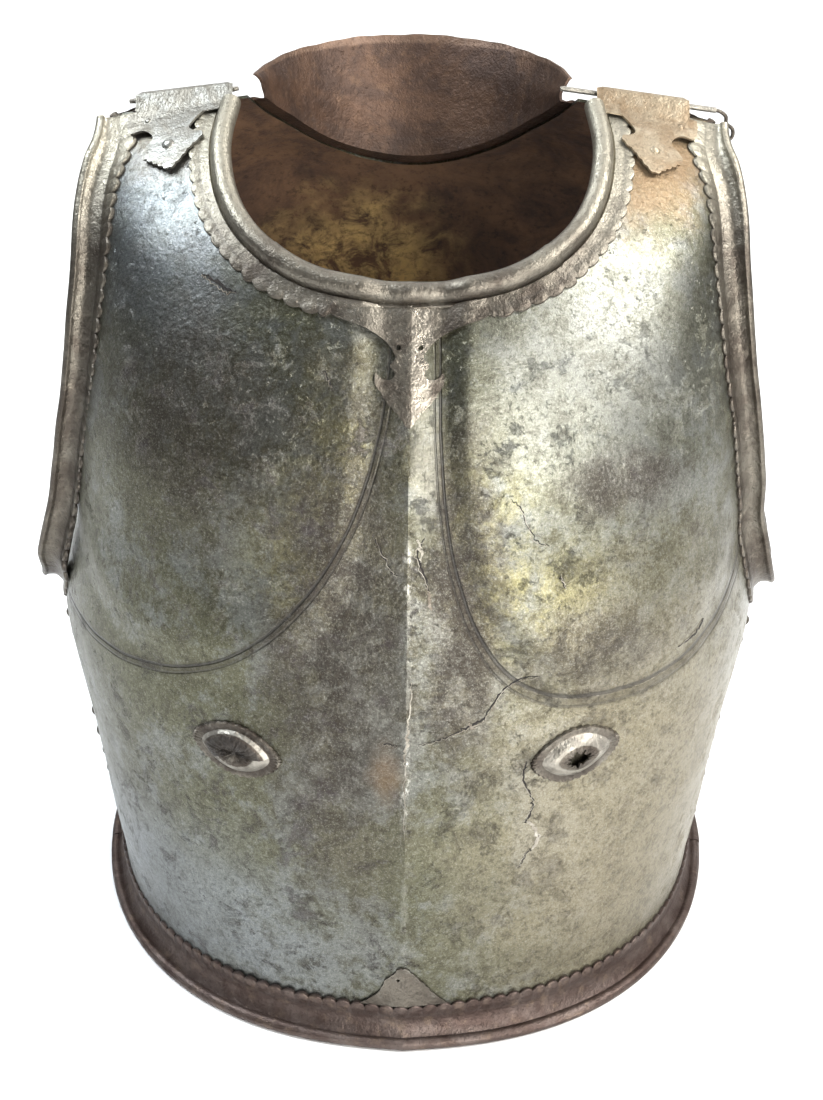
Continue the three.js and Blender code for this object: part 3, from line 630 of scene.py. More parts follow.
def plate_iron():
    """The worn, mottled outer face of both plates."""
    brown, bright = linear(56, 51, 46), linear(206, 204, 194)
    s = Shader("breastplate_iron", linear(106, 107, 101))
    x, y, z = s.axes()
    mottle = s.noise(85, 10, 0.78, 0.2, offset=2.3)
    fine = s.noise(420, 6, 0.75, offset=1.1)
    grain = s.noise(1100, 4, 0.7, offset=0.7)
    s.coat(s.band(s.noise(13, 5, 0.65, 0.4) + (mottle - 0.5) * 1.2, 0.34, 0.58), linear(88, 87, 70))
    inside = muscle_depth(s, x, z) + (s.noise(45, 4) - 0.5) * 1.2
    front = s.band(y, 0.015, -0.01)

    # broad tones: gold on the inner breasts, warm right belly, pale right breast, cool left side
    gilt = s.most(s.spot((-0.045, -0.11, 0.30), (0.055, 0.2, 0.09), 0.3, 0.6),
                  s.spot((0.055, -0.11, 0.275), (0.065, 0.2, 0.075), 0.3, 0.6))
    gold = s.band(inside, -1, 3) * s.band(inside, 62, 8) * gilt
    gold = gold * s.band(s.noise(40, 9, 0.78, 0.3, offset=7.7), 0.40, 0.60)
    s.coat(gold * front * 0.8, linear(138, 132, 90))
    s.coat(s.spot((0.115, -0.09, 0.12), (0.13, 0.25, 0.20), 0.2, 0.4, 0.7), linear(142, 133, 112))
    s.coat(s.spot((0.085, -0.07, 0.35), (0.085, 0.2, 0.09), 0.2, 0.7, 0.6), linear(140, 141, 134))
    left = s.most(s.spot((-0.12, -0.09, 0.05), (0.13, 0.25, 0.09), 0.2, 0.5),
                  s.spot((-0.12, -0.06, 0.40), (0.07, 0.2, 0.07), 0.2, 0.5))
    s.coat(left * 0.6, linear(120, 125, 129))

    # dark brown patches down the middle and on both breasts, then purple stains
    middle = s.most(s.spot((-0.03, -0.14, 0.23), (0.055, 0.2, 0.20), 0.2, 0.9),
                    s.spot((0.025, -0.14, 0.25), (0.030, 0.2, 0.12), 0.2, 0.9),
                    s.spot((-0.1, -0.08, 0.33), (0.06, 0.2, 0.09), 0.2, 0.9, 0.8),
                    s.spot((0.098, -0.08, 0.302), (0.045, 0.2, 0.024), 0.1, 1.3),
                    s.spot((0.085, -0.1, 0.222), (0.05, 0.2, 0.03), 0.1, 1.2, 0.9))
    blots = middle * s.band(s.noise(52, 9, 0.78, 0.3, offset=4.2), 0.38, 0.56)
    s.coat(middle * 0.5, linear(88, 81, 73))
    s.coat(blots * 0.8, brown)
    stain = s.band(s.noise(50, 9, 0.8, 0.3, offset=9.4), 0.53, 0.64) * (s.band(z, 0.385, 0.345) * 0.78 + 0.22)
    s.coat(stain * (0.55 - s.band(x, 0.0, 0.02) * 0.3), linear(76, 70, 72))

    # speckle, finer and finer
    calm = s.band(z, 0.40, 0.35) * 0.65 + 0.35
    s.coat(s.band(mottle, 0.50, 0.62) * (calm * 0.4), brown)
    s.coat(s.band(fine, 0.50, 0.62) * 0.42, dimmed(brown, 0.6))
    s.coat(s.band(fine, 0.47, 0.34) * 0.22, linear(150, 151, 144))
    s.coat(s.band(grain, 0.52, 0.62) * 0.22, brown)
    s.coat(s.band(grain, 0.46, 0.36) * 0.14, bright)

    # rust on the shoulders and beside the ridge, and the lines round the breast muscles, with painted shade
    # along the step round them
    orange = s.most(s.spot((0.112, 0.0, 0.425), (0.05, 0.075, 0.04), 0.2, 0.9),
                    s.spot((-0.115, 0.01, 0.432), (0.04, 0.05, 0.026), 0.2, 0.9, 0.35),
                    s.spot((-0.010, -0.14, 0.168), (0.012, 0.1, 0.024), 0.1, 1.2, 0.4))
    orange = orange * (mottle * 0.9 + 0.45)
    s.coat(orange * 0.62, linear(150, 121, 90))
    line = s.most(s.band(abs(inside + 0.4), 0.9, 0.25), s.band(abs(inside + 3.4), 0.7, 0.15) * 0.5) * front
    # painted shade: a soft dark band along the step round each breast muscle
    shade = s.band(abs(inside + 1.6), 4.5, 0.5) * front
    s.coat(shade * 0.42, brown)
    s.coat(line * (mottle * 0.8 + 0.25), dimmed(brown, 0.4))

    # the ridge: its right side painted lighter, a painted highlight from the right, and its edge chipped
    # bright
    rubbed_and_lit = s.spot((0.007, -0.12, 0.325), (0.0085, 0.2, 0.062), 0.35, 0.5) * s.band(x, 0.0, 0.0012)
    s.coat(rubbed_and_lit * 0.3, linear(150, 148, 138))
    chipped = s.most(s.spot((0.0, -0.14, 0.165), (0.006, 0.1, 0.034), 0.1, 0.8),
                     s.spot((0.0, -0.14, 0.268), (0.006, 0.1, 0.022), 0.1, 0.8, 0.8), 0.13)
    flakes = s.band(s.noise(170, 6, 0.78, offset=6.1, stretch=(1, 1, 0.4)), 0.47, 0.57)
    s.coat(s.band(s.wear_and_shading, 0.6, 0.92) * flakes * chipped, bright)

    grime = s.calc("ADD", blots, orange * 0.9 + stain, clamp=True)
    shine = grime * 0.14 + mottle * 0.22 + 0.25
    metal = s.calc("SUBTRACT", 0.97, (orange * 0.6 + line) * 0.5, clamp=True)
    pits = s.band(s.noise(240, 5, 0.7, offset=12), 0.60, 0.70)
    pebble = s.noise(330, 4, 0.65, offset=3) * (s.most(middle, grime) * 0.75 + 0.25)
    return s.done(shine, metal, s.bump(grain - pits * 1.2 - line * 3.0, 0.00016, s.bump(pebble, 0.0007)))


def inside_iron():
    """The brown inside of both plates, with a golden patch on the backplate that shows in the neck."""
    dark = linear(70, 52, 43)
    s = Shader("inside_iron", dark)
    s.coat(s.band(s.noise(28, 6, 0.7, 0.6), 0.35, 0.65), linear(114, 85, 62))
    patch = s.spot((-0.03, 0.10, 0.30), (0.085, 0.1, 0.09), 0.2, 0.9)
    s.coat(patch * s.band(s.noise(60, 6, 0.75, 0.6, offset=2), 0.36, 0.6), linear(246, 206, 132))
    s.coat(s.band(s.noise(260, 5, 0.7, offset=5), 0.5, 0.7) * 0.6, dimmed(dark, 0.4))
    normal = s.bump(s.noise(600, 4, 0.65), 0.00025, s.bump(s.noise(110, 4, 0.6), 0.0008))
    return s.done(s.noise(80, 3) * 0.25 + 0.5, 0.25, normal)


IRON = plate_iron()
INSIDE = inside_iron()
# base, dark and pale colour, metallic, roughness, grain, how bright the rubbed places and painted highlights
# are, and for the borders a paler top colour, partly sandy rust and partly painted light
DARK_IRON = rusty("dark_iron", (86, 80, 70), (58, 50, 43), (108, 101, 89), 0.9, 0.42)
BORDER = rusty("border_iron", (104, 99, 90), (76, 69, 62), (128, 121, 109), 0.88, 0.38, 1.2, 0.6, SANDY_LIT_TOP)
HEM = rusty("hem_iron", (92, 81, 76), (70, 57, 52), (116, 100, 86), 0.8, 0.44, 1.2, 0.5)
STRAP = rusty("strap_iron", (138, 138, 133), (112, 108, 99), (160, 159, 152), 0.9, 0.36)
STRAP_RUST = rusty("strap_rust", (142, 130, 110), (120, 102, 80), (156, 146, 128), 0.8, 0.42, 1.2, 0.4)
GUARD = rusty("guard_rust", (78, 57, 43), (59, 43, 34), (96, 73, 55), 0.6, 0.50, 1.3, 0.3)
BRIGHT = rusty("worn_iron", (106, 100, 91), (66, 59, 53), (144, 140, 130), 0.9, 0.42, 1.6, 0.6)
CRACK = rusty("crack_shadow", (30, 25, 22), (18, 14, 12), (44, 36, 32), 0.1, 0.8)
SCUFF = rusty("bare_scuff", (150, 145, 134), (104, 95, 84), (186, 182, 172), 0.6, 0.5, 1.2, 0.3)


# ---------------------------------------------------------------- plates

PLATE_FOOT = 7.0
ARM_INSET, SEAM_INSET = 2.0, 0.4


def plate_places(outward, rows, neck_rows, neck_inset):
    """Surface coordinates over half a plate, between its ridge and neck and its seam and arm edges."""
    total, seam_rows, ridge_rows, columns = rows
    edge = neck_edge(outward, neck_rows)

    def neck_at(share):
        return step_inward(edge.stations(0.5 + share / 2), neck_inset)

    start = float(neck_at(np.zeros(1))[1][0])
    seam_top = ARM_EDGE[outward]["z"][0] - ARM_INSET
    row = np.arange(total + 1)
    ridge_z = PLATE_FOOT + (start - PLATE_FOOT) * row[:ridge_rows + 1] / ridge_rows
    neck_angle, neck_z = neck_at((row[ridge_rows + 1:] - ridge_rows) / (total - ridge_rows))
    seam_z = PLATE_FOOT + (seam_top - PLATE_FOOT) * row[:seam_rows + 1] / seam_rows
    share = (row[seam_rows + 1:] - seam_rows) / (total - seam_rows)
    arm_angle, arm_z = step_inward(arm_edge(outward, 1).stations(share), ARM_INSET)
    limit = np.where(share < 0.3, seam_angle(outward, SEAM_INSET, arm_z), np.pi)
    inner = np.append(np.zeros(ridge_rows + 1), neck_angle), np.append(ridge_z, neck_z)
    outer = (np.append(seam_angle(outward, SEAM_INSET, seam_z), np.minimum(arm_angle, limit)),
             np.append(seam_z, arm_z))
    across = np.arange(columns + 1) / columns
    return [a[:, None] + (b - a)[:, None] * across for a, b in zip(inner, outer)]


def plate(name, outward, rows, neck_rows, neck_inset, slot):
    """Both halves of a plate. Its rows are counted in all, up the seam and up the ridge, then its columns."""
    shape = Shape()
    angle, z = plate_places(outward, rows, neck_rows, neck_inset)
    over, under = skin(outward, angle, z), skin(outward, angle, z, -PLATE)
    wear_and_shading = np.full(z.shape, 0.5)
    if outward == FRONT:
        wear_and_shading += 0.4 * np.exp(-(np.abs(over[..., 0]) / 1.2) ** 2) * smooth((330 - z) / 60)
    for side in (1, -1):
        mirror = np.array([side, 1, 1])
        shape.shell(over * mirror, under * mirror, rows[2], 1, wear_and_shading)
    shape.build(name, [IRON, INSIDE], name, slot, sharp=17)


plate("breastplate", FRONT, (216, 78, 158, 96), NECK_EDGE, 10.5, "iron_plate")
plate("backplate", BACK, (150, 66, 112, 70), SCOOP_EDGE, 0.2, "dark_iron")


# ---------------------------------------------------------------- borders

# Lift of a border's hidden points, inside the plate; and the wear of hidden points, kept low so the border's
# edge by the plate comes out dark as painted shade, and of plain ones.
BURIED = -0.5
SHADED, EVEN = 0.05, 0.5


def scales(distance, inward, pitch, depth):
    """Round ends and raised middles of a row of small scales, with inward measured from their ends."""
    phase = (distance / pitch) % 1.0 - 0.5
    round_end = np.sqrt(np.maximum(0, 1 - (2 * phase) ** 2))
    crown = 1 - np.abs(2 * phase) ** 3
    button = crown * smooth((inward + 0.2) / 0.9) * smooth((depth * 2.5 - inward) / (depth * 1.5))
    return round_end, button


def border(edge, section_points, band, pitch, depth, span, place, spacing=0.75, plain_middle=0.0):
    """A border swept along an edge: its smooth section, then a flat band that ends in scales."""
    share, distance = edge.even(spacing, *span)
    scaled = smooth((np.abs(distance - distance[-1] / 2) - plain_middle) / 2)[:, None]
    station = {key: value[:, None] for key, value in edge.stations(share).items()}
    foot, end, top = band
    bend = end - depth * 2.2
    steps = np.concatenate([np.linspace(foot, bend, 5)[:-1], np.linspace(bend, end, 12)])
    inward = end - steps[None, :]
    round_end, button = scales(distance[:, None], inward, pitch, depth)
    button = button * scaled
    reach = steps[None, :] - depth * (1 - round_end * scaled) * smooth(1 - inward / (depth * 1.2))
    rise = top + 0.2 * depth * button
    rise = np.where(steps[None, :] >= end - 1e-6, rise - 0.25, rise)
    reach = np.broadcast_to(reach, rise.shape)
    body = np.broadcast_to(np.array(section_points, float), (len(share), len(section_points), 2))
    buried = np.full((len(share), 1), BURIED)
    t = np.concatenate([reach, reach[:, -1:], np.full_like(buried, end - depth * 2.5), body[..., 0]], 1)
    h = np.concatenate([rise, buried, buried, body[..., 1]], 1)
    worn = np.full(t.shape, EVEN)
    count = rise.shape[1]
    worn[:, :count] = 0.26 + 0.36 * button + 0.24 * smooth((inward - depth * 2.2) / 2) + 0.24 * (1 - scaled)
    worn[:, count:count + 2] = SHADED
    shape = Shape()
    shape.swept(place(station, t, h, share[:, None]), worn)
    return shape


FINIAL = [
    (0.4, 331), (3.8, 335.4), (7.0, 338.6), (10.4, 342), (12.8, 345.6), (15.2, 348.4), (15.0, 352.6),
    (12.2, 350.4), (8.2, 350.2), (6.6, 352.6), (8.7, 355.6), (6.5, 358.2), (7.6, 361.4), (12, 365.6),
    (19, 369.2), (27, 371.6), (35, 374.4), (35, 379),
]
NECK_ROLL = arc(5.0, 1.0, 5.0, np.linspace(338, 12, 18)) + [(10.5, 0.35)]
NECK_BAND, ARM_BAND = (11.2, 22.0, 1.2), (3.4, 11.2, 1.15)
ARM_SECTION = [
    (2.2, 1.7), (-0.6, 4.6), (-0.9, 8.4), (-0.3, 10.4), (-1.9, 12.0), (-4.1, 11.5), (-4.8, 9.3), (-3.2, 6.6),
    (-2.4, 2.6), (0.4, -0.5),
]


def neck_border():
    """The neck's round roll, groove and scaled band, which runs out into a cusped finial on the ridge."""

    def along_neck(station, t, h, share):
        return skin(FRONT, *step_inward(station, t), h)

    def sunk(x, z, lift):
        lower = 0.75 * smooth((np.abs(x) - 17) / 14) + 0.9 * smooth((z - 375.5) / 3)
        return skin_at(FRONT, x, z, lift - lower)

    def painted_highlight_on_the_right(x):
        # wear of the finial, raised on its right half so that it comes out pale there: a painted highlight
        return 0.4 + 0.45 * smooth(x / 1.5) * smooth((15 - x) / 8)

    edge = neck_edge(FRONT, NECK_EDGE)
    shape = border(edge, NECK_ROLL, NECK_BAND, 6.3, 2.6, (0.012, 0.988), along_neck, plain_middle=31)
    half = catmull(FINIAL, 5)
    run = length_along(half)
    half[:, 0] += 0.6 * np.abs(np.sin(np.pi * run / 3.6)) * smooth((24 - run) / 5)
    outline = np.concatenate([half, half[::-1] * [-1, 1]])
    holes = [ring(side * 5.0, 362.4, 1.1, 10) for side in (-1, 1)]
    leaf(shape, [outline, *holes], 1.6, sunk, (1.9, BURIED), painted_highlight_on_the_right)
    shape.build("front_neck_border", [BORDER], "front_neck_border", "iron_plate")


def arm_border(face, side, name, slot, material):
    """A flange that leans outward from the arm hole, and is lower at the armpit and near the shoulder."""
    foot, armpit = 1.6, 0.35
    lowered = 0.45 if face == FRONT else 0.75

    def leaned(station, t, h, share):
        base = skin(face, *step_inward(station, t), np.minimum(h, foot))
        fade = armpit + (1 - armpit) * smooth(share * 14)
        fade = fade * (1 - lowered * smooth((share - 0.86) / 0.12))
        lean = unit(station["normal"] + np.array([0.5 * side, 0, 0]))
        return base + lean * (np.maximum(0, h - foot) * fade)[..., None]

    flange = catmull(ARM_SECTION, 3)[::-1]
    shape = border(arm_edge(face, side), flange, ARM_BAND, 7.0, 3.6, (0.0, 0.985), leaned, 0.9)
    shape.build(name, [material], name, slot)


# lift and height: the hidden inner side, the flare, the roll, cut flat below, and the neck above it
HEM_ROLL = arc(7.6, 3.3 * math.sin(math.radians(60)), 3.3, np.linspace(-122, 128, 12))
HEM_SECTION = np.array([
    (BURIED, 17), (BURIED, 12), (BURIED, 8.6), (1.7, 5.4), (3.8, 2.2),
    *((lift, max(0.0, z)) for lift, z in HEM_ROLL), (4.9, 6.2), (3.1, 8.2), (2.1, 10.3),
])


def hem_border(face, name):
    """The hem strip: scales along its upper edge, and a flare down to the roll that it all stands on."""
    seam = float(seam_angle(face, GAP, np.array(0.0)))
    share = np.linspace(-seam, seam, 760 if face == FRONT else 560)
    run = length_along(skin(face, share, 10.0, 0, True))
    distance = np.linspace(0, run[-1], len(share))[:, None]
    angle = np.interp(distance, run, share)
    end, depth, pitch = 23.4, 3.2, 7.3
    band = np.concatenate([np.linspace(12.5, 16, 3), np.linspace(17, end, 12)])[None, :]
    inward = end - band
    round_end, button = scales(distance, inward, pitch, depth)
    band = band - depth * (1 - round_end) * smooth(1 - inward / (depth * 1.2))
    body = np.broadcast_to(HEM_SECTION, (len(share), *HEM_SECTION.shape))
    lift = np.concatenate([1.25 + 0.65 * button, np.full_like(distance, BURIED), body[..., 0]], 1)
    z = np.concatenate([band, band[:, -1:], body[..., 1]], 1)
    sway = 0.35 * np.sin(distance / 31) + 0.25 * np.sin(distance / 11.7 + 1)
    points = skin(face, angle, np.maximum(z, 0.5), lift + sway * smooth((12 - z) / 8) * (z > 4))
    points[..., 2] = z
    worn = np.full(z.shape, EVEN)
    count = band.shape[1]
    worn[:, :count] = 0.24 + 0.42 * button + 0.24 * smooth((inward - depth * 2.2) / 2)
    worn[:, count:count + 2] = SHADED
    shape = Shape()
    shape.swept(points, worn)
    shape.build(name, [HEM], name, "rusted_iron")


neck_border()
for side, word in ((1, "right"), (-1, "left")):
    arm_border(FRONT, side, f"front_arm_border_{word}", "iron_plate", BORDER)
    arm_border(BACK, side, f"back_arm_border_{word}", "dark_iron", DARK_IRON)
hem_border(FRONT, "front_bottom_border")
hem_border(BACK, "back_bottom_border")


# ---------------------------------------------------------------- side strips

STRIP_REACH = 10.0


def side_strip(side, word):
    """The strip over a side seam, with two rows of rivets; the left one has lost a rivet."""
    name = f"side_strip_{word}"
    low, high = (corner.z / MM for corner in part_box(name))
    rng = np.random.default_rng(3)

    def turned(across, z):
        return side * seam_angle(FRONT, STRIP_REACH * (1 - 2 * across), z)

    z = np.linspace(low, high, 150)[:, None]
    across = np.linspace(0, 1, 11)[None, :]
    crown = 1.4 - 0.5 * np.abs(2 * across - 1) ** 6
    angle = turned(across, z)
    shape = Shape()
    shape.shell(skin(FRONT, angle, z, crown), skin(FRONT, angle, z, 0.06), 0, 0, 0.45 + 0.25 * (crown < 1.2))
    for row, offset in ((0.18, 0.0), (0.78, 6.5)):
        for k in range(11):
            if side < 0 and row < 0.5 and k == 8:
                continue
            rivet_z = np.array(low + 9 + offset + 13 * k + rng.uniform(-0.8, 0.8))
            if rivet_z > high - 4:
                continue
            centre, above = (skin(FRONT, turned(row, rivet_z), rivet_z, lift) for lift in (1.2, 2.2))
            radius, height = 3.4 + rng.uniform(-0.3, 0.3), 2.3 + rng.uniform(-0.2, 0.3)
            shape.dome(centre, above - centre, radius, height, 12, 0.6)
    shape.build(name, [DARK_IRON], name, "dark_iron")


# ---------------------------------------------------------------- shoulders

HINGE_X, HINGE_Z, HINGE_FALL = 85.0, 448.0, 0.13
FIRST_X, LAST_X, KNUCKLES, KNUCKLE_GAP = 93.5, 133.5, 5, 0.6
KNUCKLE, BORE, COVER_OVER, COVER_UNDER = 2.95, 1.8, 3.75, 3.2
LEAF_TOP, LEAF_UNDER = 3.3, 2.0
FRONT_LEAF = [
    (136.5, 4.6), (136, 10), (133.6, 15), (128, 15.8), (123.8, 18.6), (121.8, 22.4), (124.6, 26), (125.2, 30),
    (121.4, 33.6), (116.8, 37.4), (111.4, 40.9), (106.8, 37.6), (103, 32.8), (99.2, 29.2), (98.2, 25.6),
    (101.6, 24.2), (104.8, 21.4), (103.4, 17), (99.4, 11.6), (95, 7), (93.6, 4.6),
]
BACK_LEAF = [
    (136.5, 4.6), (133.6, 9.5), (130.6, 14), (126.6, 21), (122.4, 25.2), (119.2, 30), (113.4, 34),
    (111.4, 36), (109.4, 34), (105.2, 29), (102, 22.4), (98.4, 15), (95, 9), (93.6, 4.6),
]
# rivets of a leaf, and its holes: across, distance from the hinge and radius
BACK_RIVETS = [(113, 15, 2.6), (112, 26, 2.2)]
FRONT_RIVETS = {
    1: [(113, 29.4, 2.6), (128, 10.5, 1.8)],
    -1: [(113.6, 28.6, 3.2), (112.5, 7.5, 1.5), (126, 11, 1.6)],
}
FRONT_HOLES = {1: [(110, 6.5, 1.5)], -1: [(101.7, 6.4, 1.6), (97.7, 7.2, 1.0)]}
COVER_START = {1: 88.5, -1: 86.5}


def hinge_z(x):
    return HINGE_Z - HINGE_FALL * (x - HINGE_X)


def scalloped(points, tooth, pitch):
    """A smooth outline through points, with small scallops along its far part."""
    line = catmull(points, 5)
    run = length_along(line)
    even = np.linspace(0, run[-1], int(run[-1] / 0.55))
    line = np.stack([np.interp(even, run, line[:, 0]), np.interp(even, run, line[:, 1])], -1)
    bite = tooth * np.abs(np.sin(np.pi * even / pitch)) * smooth((line[:, 1] - 25) / 3)
    return line + beside(line) * bite[:, None]


def profile(face, x, places):
    """Distance from the hinge line and height of places given as distance and lift."""
    points = [skin_from_above(face, x, distance, lift) for distance, lift in places]
    return [(abs(point[1]), point[2]) for point in points]


def hinge_cover(start):
    """The front leaf's own sheet, which laps over the knuckles and ends just behind their top."""
    rings = []
    for x in np.linspace(start, LAST_X, 60):
        corner = smooth(min(x - start, LAST_X - x) / 5)
        turns = np.linspace(48, 62 + 54 * corner, 8)
        ramp = profile(FRONT, x, ((11.5, 3.36), (8.6, 3.62), (6.4, 3.75)))
        over, under = arc(0, hinge_z(x), COVER_OVER, turns), arc(0, hinge_z(x), COVER_UNDER, turns[::-1])
        worn_lip = 0.25 * math.sin(x * 0.9) + 0.2 * math.sin(x * 2.3)
        over[-1] = (over[-1][0] + worn_lip, over[-1][1])
        back = [(t, h - 0.5) for t, h in ramp[::-1]]
        rings.append([(x, FRONT * t, h) for t, h in ramp + over + under + back])
    return np.array(rings)


def strap(face, side, name, material, holes, rivets):
    """A leaf with its rivets, its share of the hinge's knuckles and, in front, the sheet over them."""
    front = face == FRONT
    outline = scalloped(FRONT_LEAF if front else BACK_LEAF, 0.7 if front else 0.0, 3.5)
    loops = [outline] + [ring(x, y, r, 12, 0.12, 1.25, seed=int(x)) for x, y, r in holes]
    mirror = np.array([side, 1, 1])

    def place(x, y, lift):
        return skin_from_above(face, x, y, lift) * mirror

    shape = Shape()
    leaf(shape, loops, 1.5, place, (LEAF_TOP, LEAF_UNDER), 0.5)
    for x, y, radius in rivets:
        centre, above = place(x, y, LEAF_TOP - 0.2), place(x, y, LEAF_TOP + 0.8)
        shape.dome(centre, above - centre, radius, radius * 0.5, 14)
    pitch = (LAST_X - FIRST_X) / KNUCKLES
    turns = np.linspace(62, 318, 18)
    for k in range(0 if front else 1, KNUCKLES, 2):
        begin = FIRST_X + k * pitch + KNUCKLE_GAP / 2
        rings = []
        for x, swell in zip(np.linspace(begin, begin + pitch - KNUCKLE_GAP, 5), (0.0, 0.12, 0.15, 0.12, 0.0)):
            tab = profile(face, x, ((6.6, 2.2), (9.0, 2.2), (9.0, 3.42), (6.4, 3.5)))
            curl = arc(0, hinge_z(x), KNUCKLE + swell, turns) + arc(0, hinge_z(x), BORE, turns[::-1])
            rings.append([(x, face * t, h) for t, h in tab + curl])
        wear_and_shading = np.full((5, len(rings[0])), 0.55)
        wear_and_shading[:, 8:18] = 0.75
        wear_and_shading[:, -18:] = 0.08
        shape.swept(np.array(rings) * mirror, wear_and_shading)
    if front:
        shape.swept(hinge_cover(COVER_START[side]) * mirror, 0.5)
    shape.build(name, [material], name, "rusted_iron", sharp=38)


PIN_RADIUS, WIRE_RADIUS = 1.4, 0.95
# the eye of the right pin: across, back, and height over the pin's bend
PIN_EYE = [
    (145, 0, 0.25), (149, 0, -0.6), (152, 0, -3), (152.6, 0.4, -6.5), (156, 1.2, -9.5), (156.2, 1.6, -13.5),
    (152.8, 1.9, -16), (149.2, 2.2, -14), (149, 2.5, -10.4), (151, 2.7, -8.3),
]


def hinge_line(side, places, steps):
    return catmull([(side * x, 0.0, hinge_z(x)) for x in places], steps)


def shoulder_pins():
    """The right pin is a bent bar with a wire eye outside the shoulder; the left one is plain."""
    path = hinge_line(1, (71, 90, 110, 130, 142, 147), 6)
    radii = PIN_RADIUS - 0.12 * np.abs(np.sin(path[:, 0] * 0.9)) * (path[:, 0] < 92)
    radii[0] = 0.9
    shape = Shape()
    shape.swept(tube_rings(path, radii, 14), 0.8)
    wire = catmull([(x, y, hinge_z(147) + rise) for x, y, rise in PIN_EYE], 6)
    shape.swept(tube_rings(wire, WIRE_RADIUS, 10), 0.6)
    name = "shoulder_pin_right"
    shape.build(name, [BRIGHT], name, "worn_iron", body="shoulder_pin", sharp=50)
    line = hinge_line(-1, (84, 110, 137), 5)
    radii = np.full(len(line), PIN_RADIUS)
    radii[[0, -1]] = 1.0
    plain = Shape()
    plain.swept(tube_rings(line, radii, 14), 0.7)
    plain.build("shoulder_pin_left", [BRIGHT], "shoulder_pin_left", "worn_iron", sharp=50)


# ---------------------------------------------------------------- neck guard

GUARD_HALF_WIDTH, GUARD_DEPTH, GUARD_Y, GUARD_RIM_Z, GUARD_SPAN = 77.0, 98.0, 3.0, 452.0, 83.0
GUARD_FOOT, GUARD_CREASE, GUARD_SHEET, GUARD_ROWS = 17.0, -6.0, 1.5, 22


def neck_guard():
    """The upright collar behind the neck: a foot that laps the backplate's scoop, a bowed wall and a bead."""
    turns = np.linspace(-GUARD_SPAN, GUARD_SPAN, 150)
    station = neck_edge(BACK, SCOOP_EDGE).stations(0.5 + turns / 180)
    across, back = np.sin(np.radians(turns)), np.cos(np.radians(turns))
    outside = unit(np.stack([across * 0.9, back, np.full(turns.shape, -0.3)], -1))[:, None]
    wave = 0.35 * np.sin(turns * 0.21) + 0.25 * np.sin(turns * 0.53 + 1)
    rim_z = GUARD_RIM_Z - 0.7 + wave * 0.6
    rim = np.stack([GUARD_HALF_WIDTH * across, GUARD_Y + GUARD_DEPTH * back, rim_z], -1)
    crease = skin(BACK, *step_inward(station, GUARD_CREASE), 0.0)
    level = np.linspace(0, 1, GUARD_ROWS)[None, :, None]
    bow = 6.0 * level * (1 - level) + 0.25 * np.sin(level * 9 + turns[:, None, None] * 0.06)
    inner = crease[:, None] * (1 - level) + rim[:, None] * level - outside * bow
    bead = smooth((level - 0.93) / 0.07)
    outer = inner + outside * (GUARD_SHEET + 0.5 * bead)
    foot = GUARD_FOOT * (0.3 + 0.7 * back)

    def on_back(shares, lift):
        return np.stack([skin(BACK, *step_inward(station, foot * share), lift) for share in shares], 1)

    lap, under = on_back((1.0, 0.75, 0.5, 0.25, 0.0), GUARD_SHEET + GAP), on_back((-0.02, 0.5, 1.0), 0.25)
    rings = np.concatenate([lap, outer, inner[:, ::-1], under], 1)
    worn = np.full(rings.shape[:2], EVEN)
    rim_at = lap.shape[1] + GUARD_ROWS
    worn[:, rim_at - 2:rim_at + 2] = 0.95
    # painted shade: the inner face's lowest rows, by the crease, get low wear and come out darker
    worn[:, rim_at + GUARD_ROWS - 4:rim_at + GUARD_ROWS] = 0.34
    shape = Shape()
    shape.swept(rings, worn)
    shape.build("neck_guard", [GUARD], "neck_guard", "rusted_iron", sharp=40)


# ---------------------------------------------------------------- bosses, patch and damage

BOSS = dict(x=81.5, z=169.0, half_length=21.0, half_width=14.0, pinch=0.3, drop=0.1, sides=112, lobes=36)
# rings of a boss: size, and lift of the broken one and of the whole one
BOSS_RINGS = [
    (1.0, 0.9, 0.9), (0.97, 1.5, 1.5), (0.90, 1.5, 1.5), (0.82, 1.5, 1.5), (0.78, 1.8, 1.9),
    (0.70, 3.0, 3.4), (0.60, 4.3, 4.7), (0.48, 5.2, 5.4), (0.36, 5.8, 5.6), (0.26, 6.0, 5.3),
    (0.16, 5.6, 4.6), (0.06, 4.6, 4.2),
]


